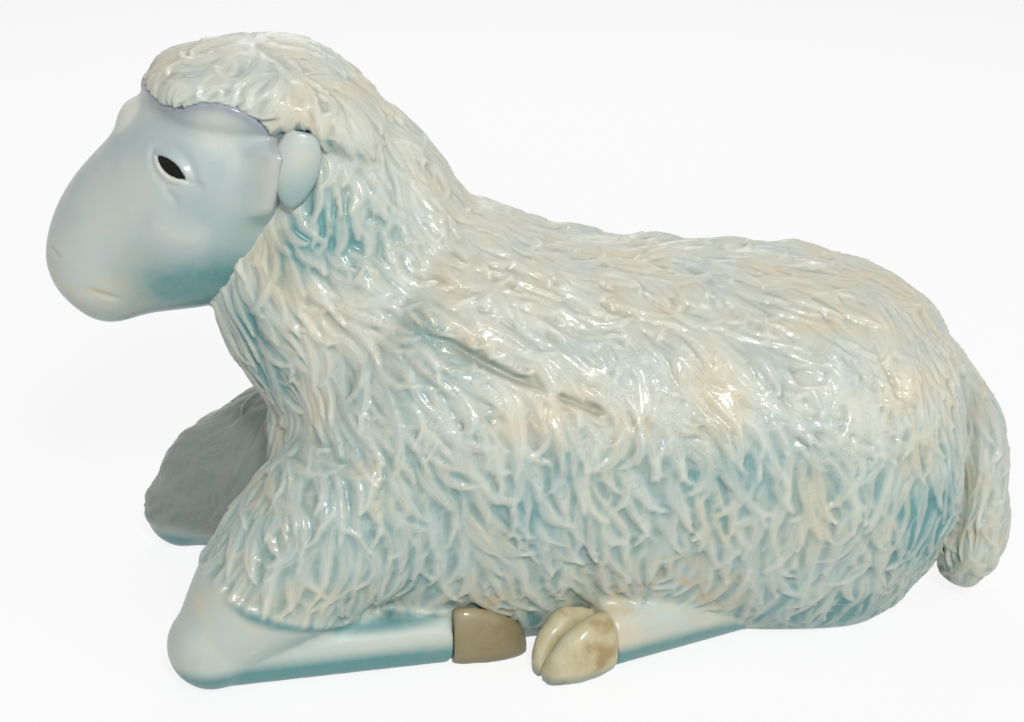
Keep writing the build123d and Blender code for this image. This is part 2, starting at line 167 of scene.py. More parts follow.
def smoothed(values, edges, rounds, keepSize=False):
    degree = np.bincount(edges.ravel(), minlength=len(values)).astype(float)
    shape = values.reshape(len(values), -1).copy()

    def step(amount):
        for k in range(shape.shape[1]):
            total = np.bincount(edges[:, 0], shape[edges[:, 1], k], len(values))
            total += np.bincount(edges[:, 1], shape[edges[:, 0], k], len(values))
            shape[:, k] += amount * (total / degree - shape[:, k])

    for _ in range(rounds):
        step(evenOut["step"])
        if keepSize:
            step(-evenOut["back"])
    return shape.reshape(values.shape)


def normalsOf(co, quads):
    face = np.cross(co[quads[:, 2]] - co[quads[:, 0]], co[quads[:, 3]] - co[quads[:, 1]])
    out = np.zeros_like(co)
    for k in range(3):
        for i in range(4):
            out[:, k] += np.bincount(quads[:, i], face[:, k], len(co))
    return unit(out)


def nearTree(points):
    found = KDTree(len(points))
    for i, p in enumerate(points.tolist()):
        found.insert(p, i)
    found.balance()
    return found


def unit(v):
    return v / np.maximum(np.linalg.norm(v, axis=-1, keepdims=True), 1e-12)


def ramp(value, low, high):
    t = np.clip((value - low) / (high - low), 0, 1)
    return t * t * (3 - 2 * t)


def softSkin(names, voxel, rounds):
    # one closed surface over several castings, voxel size in mm
    co, tri = joinArrays([nodeArrays(n) for n in names])
    co, quads = modified(co, tri, "REMESH", mode="VOXEL", voxel_size=voxel * mm, adaptivity=0.0)
    co, quads = largestPart(co, quads)
    co = smoothed(co, edgesOf(quads), rounds, keepSize=True)
    return modified(co, quads, "SUBSURF", levels=1, render_levels=1)


def alongLine(co, points):
    # distance to a line of points in mm, and how far along it, from 0 to 1
    points = np.array(points, float) * mm
    best, where = np.full(len(co), 1e9), np.zeros(len(co))
    spans = np.linalg.norm(np.diff(points, axis=0), axis=1)
    reach = np.concatenate([[0], np.cumsum(spans)])
    for i in range(len(points) - 1):
        d = points[i + 1] - points[i]
        t = np.clip(((co - points[i]) @ d) / (d @ d), 0, 1)
        gap = np.linalg.norm(co - points[i] - t[:, None] * d, axis=1)
        near = gap < best
        best[near] = gap[near]
        where[near] = ((reach[i] + t * spans[i]) / reach[-1])[near]
    return best / mm, where


foldFade = 0.25  # share of a fold's length over which each end fades out


def fold(co, points, height, width):
    # height in mm of a soft ridge or, below zero, a groove along a line
    gap, t = alongLine(co, points)
    ends = ramp(t, 0, foldFade) * (1 - ramp(t, 1 - foldFade, 1))
    return height * np.exp(-(gap / width) ** 2) * ends


lattice = {"cells": 64, "shift": 17.3}


def bumps(co, size, seed):
    # soft value noise on a lattice with cells of this size in mm, from -1 to 1
    cells = lattice["cells"]
    grid = np.random.default_rng(seed).uniform(-1, 1, (cells, cells, cells))
    p = co / (size * mm) + lattice["shift"]
    base = np.floor(p).astype(int)
    f = p - base
    f = f * f * (3 - 2 * f)
    total = np.zeros(len(co))
    for i in (0, 1):
        for j in (0, 1):
            for k in (0, 1):
                w = np.abs(1 - i - f[:, 0]) * np.abs(1 - j - f[:, 1]) * np.abs(1 - k - f[:, 2])
                corner = (base + (i, j, k)) % cells
                total += w * grid[corner[:, 0], corner[:, 1], corner[:, 2]]
    return total


def leftSide(points):
    # the points of the right side mirrored over to the left
    out = points.copy()
    out[:, 1] = -np.abs(out[:, 1])
    return out


def farFrom(points, place):
    # distance in mm to a place in mm
    return np.linalg.norm(points - np.array(place) * mm, axis=1) / mm


def softDabs(co, dabs):
    # soft round dabs, used for the teal paint with its painted shade and for the warm tints: place
    # in mm on the left side, radius, strength; the right side gets the same
    left = leftSide(co)
    total = np.zeros(len(co))
    for px, py, pz, radius, strength in dabs:
        gap = np.linalg.norm(left - np.array((px, py, pz)) * mm, axis=1) / (radius * mm)
        dab = strength * np.exp(-gap ** 2)
        total = np.maximum(total, dab) * 0.5 + 0.5 * np.minimum(1, total + dab)
    return total


def setField(mesh, name, values):
    vector = values.ndim == 2
    field = mesh.attributes.new(name, "FLOAT_VECTOR" if vector else "FLOAT", "POINT")
    field.data.foreach_set("vector" if vector else "value", values.astype(np.float32).ravel())


def setPaint(mesh, relief=0.5, tealPaintAndShade=0.0, blush=0.0, dusk=0.0):
    # what the hand paint reads: height of the relief (painted shade in the hollows, painted
    # highlight on the crests), teal paint mixed with painted shade and bounced light, warm dabs,
    # and painted shade with one dark chip
    for name, values in (("relief", relief), ("tealPaintAndShade", tealPaintAndShade), ("blush", blush), ("dusk", dusk)):
        setField(mesh, name, values + np.zeros(len(mesh.vertices)))


def addPiece(name, mesh, replaced):
    piece = addObject(name, mesh)
    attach(piece, "root")
    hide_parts(*replaced)
    return piece


# the wool: one skin over all woolly castings, carved with locks, then cut into its castings
wool = {
    "voxel": 1.9, "smoothing": 8,
    # pulled in at the rump's lower end and the tail's tip, in mm
    "rumpIn": 9, "tailIn": 4, "tailUp": 5,
    # the locks' run: how far each stroke reaches, spread of length and turn, sway and hooked tip
    "strokeReach": 9, "lengthSpread": (0.8, 1.3), "turnSpread": 0.16,
    "sway": 0.5, "hook": 1.7, "hookFrom": 0.4,
    # the locks' section: heights in mm, hairs per lock, spread of width and lift
    "relief": 2.4, "overlap": 0.35, "strand": 0.22, "hairs": 7.5,
    "widthSpread": (0.55, 1.45), "liftSpread": 0.2, "widestAt": 0.4,
    # after the carving: how far the surface sits down, and how much of it stays crisp
    "low": 0.9, "crisp": 0.45, "soft": 0.55,
}
skinNodes = ["body_shell_left", "body_shell_right", "wool_cap", "foreleg_left", "foreleg_right",
             "hind_foot_left", "hind_foot_right", "tail"]
capLabel, farLegLabel, tailLabel = 2, 4, 7  # their places in skinNodes
headLabel = len(skinNodes)
co, quads = softSkin(skinNodes + ["head", "base_plate", "casting_bolts"],
                     wool["voxel"], wool["smoothing"])
edges = edgesOf(quads)
normals = normalsOf(co, quads)
report("skin made:", len(co), "points")

# which casting each face belongs to
castings = [nodeArrays(n) for n in skinNodes + ["head"]]
owner = np.concatenate([np.full(len(t), i) for i, (_, t) in enumerate(castings)])
allCo, allTri = joinArrays(castings)
tree = BVHTree.FromPolygons(allCo.tolist(), allTri.tolist())
middles = co[quads].mean(1)
label = np.array([owner[tree.find_nearest(p)[2]] for p in middles.tolist()])
pointLabel = np.zeros((len(co), headLabel + 1))
for i in range(4):
    for k in range(headLabel + 1):
        pointLabel[:, k] += np.bincount(quads[:, i], label == k, len(co))
pointLabel = smoothed(pointLabel / pointLabel.sum(1, keepdims=True), edges, 3)


def plateRim(x):
    # height in mm of the wool's edge over the face
    return np.interp(x, [-160, -154.2, -148.2, -142, -134.6, -127, -120, -115, -111.3, -107.5],
                     [228, 223.3, 219.8, 220, 222.7, 222.5, 220, 216.5, 212.6, 205])


# the face reaches up to the wool's edge
x, y, z = co.T / mm
below = pointLabel[:, capLabel] * ramp(plateRim(x) - z, -0.8, 0.8) * ramp(-x, 106, 108)
pointLabel[:, headLabel] += below
pointLabel[:, capLabel] -= below
above = pointLabel[:, headLabel] * ramp(z - plateRim(x), 0.2, 1.2)
pointLabel[:, capLabel] += above
pointLabel[:, headLabel] -= above
pointLabel[:, headLabel] *= ramp(-x, 99, 103)
label = pointLabel[quads].sum(1).argmax(1)
# pull the tail's tip and the rump's lower end in, and fill the far foreleg out, as in the photo
rump = pointLabel[:, 0] + pointLabel[:, 1]
rump = rump * wool["rumpIn"] * mm * ramp(x, 118, 158) * (1 - ramp(z, 15, 52))
co[:, 0] -= rump * ramp(-y, 22, 48)
tail = pointLabel[:, tailLabel]
co[:, 0] -= tail * wool["tailIn"] * mm * ramp(x, 165, 190) * (1 - ramp(z, 40, 85))
co[:, 2] += tail * wool["tailUp"] * mm * (1 - ramp(z, 5, 50))
nudges = [
    # place, radius, shift in mm
    ((-160, 46, 48), 25, (-6.4, 0, 6.2)),
    ((14, 0, 168), 27, (0, 0, -3.4)), ((118, -10, 150), 26, (0, 0, -3.2)),
]
for place, radius, move in nudges:
    co += np.array(move) * mm * np.exp(-(farFrom(co, place) / radius) ** 2)[:, None]
# calm a rough spot beside the brow
roughSpot = {"place": (-139, -34.3, 225), "radius": 4.5, "roundsBefore": 40, "roundsAfter": 12}
rough = np.linalg.norm(leftSide(co) - np.array(roughSpot["place"]) * mm, axis=1)
calm = np.exp(-(rough / (roughSpot["radius"] * mm)) ** 4)[:, None]
co = co * (1 - calm) + smoothed(co, edges, roughSpot["roundsBefore"]) * calm
normals = normalsOf(co, quads)
report("skin sorted by casting")

# strokes that the wool follows, start and end in mm on the left side; the right side is mirrored
flowStrokes = [
    (-116, -19, 241, -135, -17, 239), (-131, -27, 237, -148, -27, 231),
    (-147, -25, 233, -153, -28, 225), (-120, -37, 232, -129, -40, 225),
    (-109, -40, 228, -116, -42, 219), (-101, -41, 224, -108, -40, 214),
    (-126, -17, 241, -116, -34, 234), (-106, -13, 242, -89, -15, 234),
    (-98, -17, 238, -82, -25, 226), (-83, -20, 229, -67, -23, 212), (-68, -21, 216, -56, -22, 196),
    (-57, -20, 200, -46, -21, 184), (-92, -41, 220, -90, -35, 203), (-80, -35, 219, -79, -36, 200),
    (-88, -35, 201, -86, -39, 187), (-71, -33, 211, -67, -33, 190), (-61, -26, 197, -58, -34, 178),
    (-82, -38, 191, -76, -40, 178), (-100, -41, 172, -89, -44, 163),
    (-73, -38, 183, -68, -40, 172), (-88, -41, 180, -83, -43, 169),
    (-115, -37, 163, -108, -41, 148), (-106, -42, 152, -97, -46, 137),
    (-130, -26, 141, -125, -28, 128), (-125, -28, 128, -119, -28, 112),
    (-120, -28, 114, -113, -28, 100), (-89, -43, 167, -70, -46, 156),
    (-70, -43, 165, -54, -47, 153), (-89, -46, 152, -72, -50, 141), (-60, -36, 175, -45, -37, 164),
    (-44, -22, 180, -27, -22, 170), (-31, -22, 171, -12, -26, 163), (-51, -39, 161, -37, -51, 151),
    (-24, -29, 166, -7, -35, 157), (-105, -43, 128, -93, -48, 109), (-84, -50, 136, -68, -61, 121),
    (-73, -52, 135, -53, -67, 118), (-48, -54, 146, -30, -62, 134), (-38, -62, 132, -15, -67, 120),
    (-25, -51, 148, -7, -56, 138), (-11, -57, 138, 2, -64, 124), (-53, -68, 115, -39, -73, 98),
    (1, -17, 162, 25, -17, 157), (38, -13, 156, 61, -19, 152), (66, -17, 152, 87, -30, 147),
    (88, -24, 149, 105, -39, 141), (106, -34, 144, 120, -48, 131), (123, -34, 139, 135, -48, 123),
    (138, -44, 125, 147, -54, 106), (155, -43, 110, 159, -49, 89), (-2, -42, 151, 15, -49, 141),
    (15, -36, 151, 33, -46, 141), (34, -42, 144, 52, -52, 134), (53, -40, 143, 71, -53, 132),
    (76, -47, 136, 92, -60, 124), (98, -54, 130, 111, -66, 110), (117, -60, 118, 125, -68, 97),
    (134, -61, 106, 139, -67, 84), (-36, -71, 110, -26, -74, 94), (-10, -70, 112, -3, -74, 96),
    (7, -66, 119, 15, -72, 102), (24, -60, 126, 32, -70, 110), (43, -64, 120, 57, -70, 107),
    (61, -60, 124, 70, -71, 104), (72, -61, 122, 86, -66, 114), (85, -68, 111, 97, -72, 100),
    (92, -73, 99, 108, -75, 85), (-3, -59, 132, 7, -68, 115), (-7, -74, 95, -6, -76, 77),
    (11, -74, 99, 12, -76, 81), (30, -74, 95, 32, -77, 75), (49, -76, 90, 54, -78, 72),
    (72, -75, 93, 70, -78, 74), (87, -77, 85, 86, -78, 65), (107, -76, 84, 106, -77, 64),
    (120, -74, 85, 117, -76, 63), (-33, -75, 85, -24, -75, 66), (-20, -75, 88, -15, -75, 70),
    (-32, -74, 61, -21, -70, 44), (-4, -74, 59, 0, -70, 39), (26, -76, 58, 30, -71, 39),
    (50, -76, 57, 47, -71, 38), (74, -75, 47, 70, -66, 27), (98, -75, 46, 94, -64, 21),
    (117, -73, 44, 117, -64, 23), (131, -72, 61, 130, -68, 40), (-109, -31, 95, -107, -60, 85),
    (-110, -57, 84, -114, -71, 71), (-115, -62, 78, -128, -69, 62), (-118, -71, 68, -126, -77, 53),
    (-106, -64, 83, -103, -79, 65), (-102, -59, 89, -86, -77, 74), (-98, -52, 94, -80, -70, 88),
    (-83, -56, 112, -68, -68, 100), (-64, -68, 107, -50, -73, 89), (-57, -72, 92, -43, -74, 69),
    (-80, -75, 78, -73, -79, 57), (-103, -82, 58, -101, -83, 41), (-85, -81, 52, -88, -77, 33),
    (-54, -73, 58, -59, -64, 34), (-126, -68, 65, -137, -73, 47), (-65, -75, 78, -56, -74, 58),
    (169, -16, 106, 176, -23, 83), (178, -23, 82, 183, -27, 58), (182, -27, 57, 180, -31, 32),
    (163, -47, 70, 168, -45, 33), (176, -29, 31, 170, -26, 13), (-121, -29, 80, -144, -45, 62),
    (-126, -22, 66, -150, -41, 51), (-112, -30, 60, -140, -30, 40),
    # unseen: ridge of the back, chest, underside and rump
    (-140, 0, 246, -158, 0, 234), (-112, 0, 248, -90, 0, 240), (-80, 0, 230, -62, 0, 208),
    (-52, 0, 196, -30, 0, 178), (-10, 0, 168, 14, 0, 164), (40, 0, 162, 66, 0, 158),
    (90, 0, 156, 116, 0, 148), (130, 0, 142, 148, 0, 126), (186, 0, 100, 190, -4, 76),
    (190, -6, 60, 188, -10, 36), (-134, 0, 140, -128, 0, 120), (-126, 0, 112, -120, 0, 90),
    (-118, 0, 80, -112, 0, 56), (156, -40, 60, 150, -42, 36), (158, -30, 90, 158, -32, 66),
]
strokes = np.array(flowStrokes, float)
strokes = np.concatenate([strokes, strokes * (1, -1, 1, 1, -1, 1)]) * mm
strokeMid = (strokes[:, :3] + strokes[:, 3:]) / 2
strokeWay = strokes[:, 3:] - strokes[:, :3]
strokeLong = np.linalg.norm(strokeWay, axis=1)
strokeWay = unit(strokeWay)
flow, lockLong = np.zeros_like(co), np.zeros(len(co))
batch = 20000  # points taken at a time, to spare memory
for first in range(0, len(co), batch):
    part = slice(first, first + batch)
    gap = (co[part] ** 2).sum(1)[:, None] + (strokeMid ** 2).sum(1) - 2 * co[part] @ strokeMid.T
    weight = 1 / (np.maximum(gap, 0) + (wool["strokeReach"] * mm) ** 2) ** 2
    weight /= weight.sum(1, keepdims=True)
    flow[part] = weight @ strokeWay
    lockLong[part] = weight @ strokeLong
flow -= normals * (flow * normals).sum(1, keepdims=True)
flow = unit(flow)
report("flow laid")

# where the wool is, and where the casting is smooth
x, y, z = co.T / mm
foreLine = np.interp(x, [-180, -135, -123, -90, -67, -46, 0], [60, 44, 37, 23, 22, 24, 24])
knee = np.interp(x, [-165, -140, -118], [62, 46, 20])
legPoint = pointLabel[:, 3] + pointLabel[:, 4]
hindPoint = pointLabel[:, 5] + pointLabel[:, 6]
headPoint = pointLabel[:, headLabel]
foreLine = np.where(y > 0, 11, foreLine)
knee = np.where(y > 0, 14, knee)
bare = legPoint * (1 - ramp(z, np.maximum(foreLine, knee) - 2, np.maximum(foreLine, knee) + 4))
bare = np.maximum(bare, hindPoint)
bare = np.maximum(bare, ramp(headPoint, 0.3, 0.8))
under = ramp(-normals[:, 2], 0.5, 0.9) * ramp(-z, -14, -5)
woolly = (1 - np.clip(smoothed(bare, edges, 4), 0, 1)) * (1 - under)

# each coat of locks: spacing, half width in mm, length share, lift over the coat below
coats = [
    {"gap": 5.8, "halfWidth": 2.4, "length": 0.95, "lift": -0.5, "relief": 0.7},
    {"gap": 7.2, "halfWidth": 3.3, "length": 1.3, "lift": 0.0, "relief": 1.0},
]
tree = nearTree(co)


scattering = {"cell": 0.8, "nearest": 0.72, "leastWool": 0.35, "cellKey": 1009}
steps = 7  # points along each lock's centre line


def scatter(gap):
    # places for the locks' roots, no two nearer than a share of the gap
    cell = np.floor(co / (gap * scattering["cell"] * mm)).astype(np.int64)
    key = (cell[:, 0] * scattering["cellKey"] + cell[:, 1]) * scattering["cellKey"] + cell[:, 2]
    order = dice.permutation(len(co))
    seeds = order[np.unique(key[order], return_index=True)[1]]
    seeds = seeds[woolly[seeds] > scattering["leastWool"]]
    seeds = dice.permutation(seeds)
    near = nearTree(co[seeds])
    kept = np.ones(len(seeds), bool)
    for i, p in enumerate(co[seeds].tolist()):
        if kept[i]:
            for _, j, _ in near.find_range(p, gap * scattering["nearest"] * mm):
                if j > i:
                    kept[j] = False
    return seeds[kept]


def walkLocks(seeds, coat):
    # centre lines that follow the flow, sway and hook at the tip
    count = len(seeds)
    long = lockLong[seeds] * dice.uniform(*wool["lengthSpread"], count) * coat["length"]
    turn = dice.normal(0, wool["turnSpread"], count)
    turn = turn + 0.42 * bumps(co[seeds], 22, 11) + 0.3 * bumps(co[seeds], 11, 12)
    bend = wool["sway"] * dice.normal(0, 1, count)
    hook = wool["hook"] * dice.choice([-1, 1], count) * dice.uniform(0.1, 1, count)
    line = np.zeros((count, steps, 3))
    line[:, 0] = co[seeds]
    here = seeds.copy()
    for k in range(1, steps):
        s = k / (steps - 1)
        angle = turn + bend * math.cos(math.pi * s) + hook * max(0, s - wool["hookFrom"]) ** 1.5
        f, n = flow[here], normals[here]
        way = f * np.cos(angle)[:, None] + np.cross(n, f) * np.sin(angle)[:, None]
        p = line[:, k - 1] + way * (long / (steps - 1))[:, None]
        here = np.array([tree.find(q)[1] for q in p.tolist()])
        p -= normals[here] * ((p - co[here]) * normals[here]).sum(1, keepdims=True)
        line[:, k] = p
    return line


# a coarse lattice that lists the points near each place
cellSize = 5.2 * mm
low = co.min(0) - 2 * cellSize
cellOf = np.floor((co - low) / cellSize).astype(int)
dims = cellOf.max(0) + 3
total = int(dims.prod())
flat = (cellOf[:, 0] * dims[1] + cellOf[:, 1]) * dims[2] + cellOf[:, 2]
byCell = np.argsort(flat, kind="stable")
cellStart = np.searchsorted(flat[byCell], np.arange(total + 1))
around = np.array([(i, j, k) for i in (-1, 0, 1) for j in (-1, 0, 1) for k in (-1, 0, 1)])
height = np.zeros(len(co))
across, along, pick = np.zeros(len(co)), np.zeros(len(co)), np.zeros(len(co))


def stampLocks(line, coat):
    count = len(line)
    # raise each lock over the points near it, and note where across and along it they are
    wide = coat["halfWidth"] * mm * dice.uniform(*wool["widthSpread"], count)
    lift = coat["lift"] + dice.uniform(-wool["liftSpread"], wool["liftSpread"], count)
    picks = dice.uniform(0, 1, count)
    batch, widest = 300, wool["widestAt"]
    for first in range(0, count, batch):
        pts = line[first:first + batch]
        rows = np.arange(len(pts))
        samples = np.concatenate([pts, (pts[:, 1:] + pts[:, :-1]) / 2], 1)
        cells = np.floor((samples - low) / cellSize).astype(int)[:, :, None] + around
        cells = np.clip(cells, 0, dims - 1)
        cells = (cells[..., 0] * dims[1] + cells[..., 1]) * dims[2] + cells[..., 2]
        cells = cells.reshape(len(pts), -1)
        lock, cell = np.divmod(np.unique(rows[:, None] * total + cells), total)
        number = cellStart[cell + 1] - cellStart[cell]
        lock, cell, number = lock[number > 0], cell[number > 0], number[number > 0]
        ends = np.cumsum(number)
        own = np.repeat(lock, number)
        spot = np.repeat(cellStart[cell] - (ends - number), number) + np.arange(ends[-1])
        spot = byCell[spot]
        q = co[spot]
        best, s, t = np.full(len(q), 1e9), np.zeros(len(q)), np.zeros(len(q))
        for k in range(steps - 1):
            a = pts[own, k]
            d = pts[own, k + 1] - a
            u = np.clip(((q - a) * d).sum(1) / (d * d).sum(1), 0, 1)
            gap = q - a - u[:, None] * d
            far = np.linalg.norm(gap, axis=1)
            hit = far < best
            best = np.where(hit, far, best)
            s = np.where(hit, (k + u) / (steps - 1), s)
            t = np.where(hit, far * np.sign((np.cross(normals[spot], d) * gap).sum(1)), t)
        w = wide[first + own]
        swell = 0.55 + 0.45 * np.sin(s / widest * math.pi / 2)
        taper = np.clip(1 - (np.maximum(s - widest, 0) / (1 - widest)) ** 1.8, 0, 1)
        shape = w * np.where(s < widest, swell, taper)
        side = t / np.maximum(shape, 1e-5)
        inside = np.abs(side) < 1
        spot, side, s, own = spot[inside], side[inside], s[inside], own[inside]
        ridge = (1 - side ** 2) ** 0.75
        rise = 0.3 + 0.7 * s ** 0.8
        h = rise * coat["relief"] * (wool["relief"] * ridge + wool["overlap"]) + lift[first + own]
        h += wool["strand"] * np.cos(side * wool["hairs"] + picks[first + own] * 6) * ridge
        order = np.lexsort((h, spot))
        last = order[np.append(spot[order][1:] != spot[order][:-1], True)]
        last = last[h[last] > height[spot[last]]]
        where = spot[last]
        height[where] = h[last]
        across[where], along[where], pick[where] = side[last], s[last], picks[first + own[last]]


for coat in coats:
    seeds = scatter(coat["gap"])
    stampLocks(walkLocks(seeds, coat), coat)
    report("coat of", len(seeds), "locks carved")

carved = height > 0
height = height * wool["crisp"] + wool["soft"] * smoothed(height, edges, 2)
broad = smoothed(height, edges, 24)
relief = np.clip(0.5 + (smoothed(height, edges, 1) - broad) / 1.5, 0, 1)
mean = height[woolly > 0.9].mean()
shift = (height - mean - wool["low"]) * woolly
shift *= 1 - 0.5 * pointLabel[:, farLegLabel] * ramp(-normals[:, 1], -0.2, 0.3)
left = leftSide(co)
woolFolds = [
    # points in mm, height, width: the crease behind the shoulder, then smaller folds
    ([(-63, -51, 142), (-52, -58, 137), (-41, -62, 133), (-28, -65, 126), (-15, -67, 120),
      (-6, -68, 116)], -4.6, 2.0),
    ([(-8, -68, 116), (1, -69, 113), (14, -71, 108)], -2.4, 1.8),
]
for points, depth, width in woolFolds:
    crease = fold(left, points, depth, width)
    shift += crease
    # the creases also take painted shade
    relief = np.clip(relief + crease * 0.25, 0, 1)
shift += (bumps(co, 13, 5) * 0.9 + bumps(co, 27, 6) * 1.0) * woolly
shift += 3.0 * woolly * (1 - woolly) * legPoint
hidden = ramp(headPoint, 0.35, 0.9)
sunk = 3.5  # mm that the skin lies below the bare face
shift = shift * (1 - hidden) - sunk * hidden
co = co + normals * (shift * mm)[:, None]
co = co * (1 - calm) + smoothed(co, edges, roughSpot["roundsAfter"]) * calm
overFloor = 0.6  # mm
co[:, 2] = np.maximum(co[:, 2], overFloor * mm)
finalNormals = normalsOf(co, quads)
report("wool carved")

# teal, partly paint and partly painted shade where the body turns from the light, and brown-pink
# paint; on the left side in mm, radius, strength
tealDabs = [
    (-89, -42, 173, 16, 0.7), (-100, -42, 167, 14, 0.7), (-74, -41, 172, 14, 0.5),
    (-94, -42, 186, 12, 0.55), (-56, -56, 139, 12, 0.5), (-45, -66, 122, 12, 0.45),
    (-35, -72, 104, 10, 0.3), (-64, -65, 114, 12, 0.4), (-83, -53, 118, 12, 0.4),
    (-86, -66, 91, 14, 0.5), (-65, -71, 88, 16, 0.5), (-46, -74, 77, 16, 0.6),
    (-5, -75, 88, 14, 0.55), (18, -76, 87, 14, 0.55), (49, -77, 83, 18, 0.6),
    (72, -77, 82, 16, 0.65), (99, -77, 81, 16, 0.6), (120, -75, 71, 14, 0.6),
    (144, -65, 53, 18, 1.9), (150, -40, 40, 18, 1.8), (-20, -75, 68, 16, 0.65),
    (11, -75, 58, 16, 0.5), (57, -77, 62, 16, 0.55), (91, -72, 36, 14, 0.55),
    (-85, -78, 39, 10, 0.7), (-104, -83, 42, 8, 0.5), (-58, -65, 35, 14, 0.8),
    (115, -60, 16, 16, 0.9), (-121, -34, 133, 14, 1.0), (-116, -31, 112, 16, 1.0),
    (-110, -40, 90, 10, 0.6), (150, -55, 80, 12, 0.5), (80, -60, 114, 8, 0.3),
]
chipPlace, groovePlace = (-103.0, -84.0, 14.0), (170, -25, 88)
blushDabs = [
    (-109, -41, 127, 10, 0.4), (-36, -42, 160, 12, 0.3), (47, -71, 38, 14, 0.6),
    (45, -74, 98, 10, 0.2), (154, -27, 124, 12, 0.3), (-109, -74, 71, 14, 0.35),
    (0, -30, 158, 10, 0.25), (-90, -49, 130, 12, 0.25), (20, -66, 28, 14, 0.8),
    (60, -68, 27, 14, 0.6), (-30, -62, 24, 11, 0.9), (-52, -75, 14, 8, 0.6),
    (178, -30, 36, 14, 0.5),
]


def paintFields(co, normals, relief):
    x, y, z = co.T / mm
    legs = np.clip(bare, 0, 1)
    # teal dabs, partly paint and partly painted shade, and more teal towards the bottom
    tealPaintAndShade = 0.85 * softDabs(co, tealDabs) * (1 - legs)
    tealPaintAndShade = np.maximum(tealPaintAndShade, 0.38 * ramp(-z, -112, -76))
    # painted light bounced up from below on the bottom edges and feet, a painted shadow under the
    # forelegs' wool fringe, and painted shade on the undersides
    tealPaintAndShade += 0.4 * ramp(-z, -34, -6) * (1 - legs)
    tealPaintAndShade = tealPaintAndShade * (1 - legs) + 0.12 * legs
    tealPaintAndShade = np.maximum(tealPaintAndShade, legs * 1.5 * ramp(-z, -16, -4))
    tealPaintAndShade = np.maximum(tealPaintAndShade, legPoint * np.exp(-((z - foreLine + 1) / 3) ** 2) * ramp(x, -140, -120))
    tealPaintAndShade = np.maximum(tealPaintAndShade, 0.6 * ramp(-normals[:, 2], 0.1, 0.8))
    tealPaintAndShade *= 1 - 0.55 * pointLabel[:, tailLabel]
    # painted shade on the far foreleg's inner side and in the groove beside the tail, and a dark
    # chip in the paint
    far = pointLabel[:, farLegLabel] * ramp(-x, 100, 125) * ramp(z, 8, 18)
    far = far * ramp(-normals[:, 1], -0.35, 0.25)
    groove = 0.45 * np.exp(-(farFrom(co, groovePlace) / 12) ** 2)
    chip = np.exp(-((farFrom(co, chipPlace) - 0.2) / 0.9) ** 4)
    return {"relief": relief, "tealPaintAndShade": np.clip(tealPaintAndShade, 0, 1.5), "blush": softDabs(co, blushDabs),
            "dusk": np.clip(0.75 * far + chip + groove, 0, 1)}


skirt = {"depth": 5, "tip": 0.2}  # in mm, and how far the fan's tip moves to the piece's middle


def cutPiece(name, faces, replaced, fields):
    used = np.unique(faces)
    index = np.full(len(co), -1)
    index[used] = np.arange(len(used))
    local = index[faces]
    pairs = np.concatenate([local[:, [i, (i + 1) % 4]] for i in range(4)])
    order = np.sort(pairs, axis=1)
    order = order[:, 0] * len(used) + order[:, 1]
    _, inverse, times = np.unique(order, return_inverse=True, return_counts=True)
    rim = pairs[times[inverse.ravel()] == 1]
    points, vectors, caps, source = co[used], finalNormals[used], None, used
    if len(rim):
        # a skirt goes inwards from the rim, and a fan closes it
        ring = np.unique(rim)
        hem = np.full(len(used), -1)
        hem[ring] = len(used) + np.arange(len(ring))
        group = groupsOf(len(used), rim)[rim[:, 0]]
        inner = points[ring] - vectors[ring] * skirt["depth"] * mm
        points = np.concatenate([points, inner])
        band = np.stack([rim[:, 1], rim[:, 0], hem[rim[:, 0]], hem[rim[:, 1]]], 1)
        local = np.concatenate([local, band])
        core, caps, tips = points.mean(0), [], []
        for g in np.unique(group):
            turn = rim[group == g]
            centre = points[hem[turn[:, 0]]].mean(0)
            tips.append(centre + (core - centre) * skirt["tip"])
            tip = np.full(len(turn), len(points) + len(tips) - 1)
            caps.append(np.stack([hem[turn[:, 1]], hem[turn[:, 0]], tip], 1))
        caps = np.concatenate(caps)
        vectors = np.concatenate([vectors, vectors[ring], np.tile([0, 0, 1.0], (len(tips), 1))])
        points = np.concatenate([points, tips])
        source = np.concatenate([used, used[ring], np.repeat(used[:1], len(tips))])
    mesh = makeMesh(name, points, local, caps)
    mesh.normals_split_custom_set_from_vertices(vectors.tolist())
    for attribute, values in fields.items():
        setField(mesh, attribute, values[source])
    return addPiece(name, mesh, replaced)


fields = paintFields(co, finalNormals, relief * woolly + 0.45 * (1 - woolly))
fields["woolly"] = woolly
fields["strand"] = np.stack([across, along, pick], 1)
apart = np.abs(pick[edges[:, 0]] - pick[edges[:, 1]]) > 1e-6
border = np.zeros(len(co))
border[edges[apart].ravel()] = 1
fade = (1 - across ** 2) * woolly * carved * (1 - border)
fields["strandFade"] = smoothed(fade, edges, 1) * (1 - border)
woolPieces = []
for i, nodeName in enumerate(skinNodes):
    woolPieces.append(cutPiece("wool_" + nodeName, quads[label == i], [nodeName], fields))
report("skin cut into", len(woolPieces), "pieces")

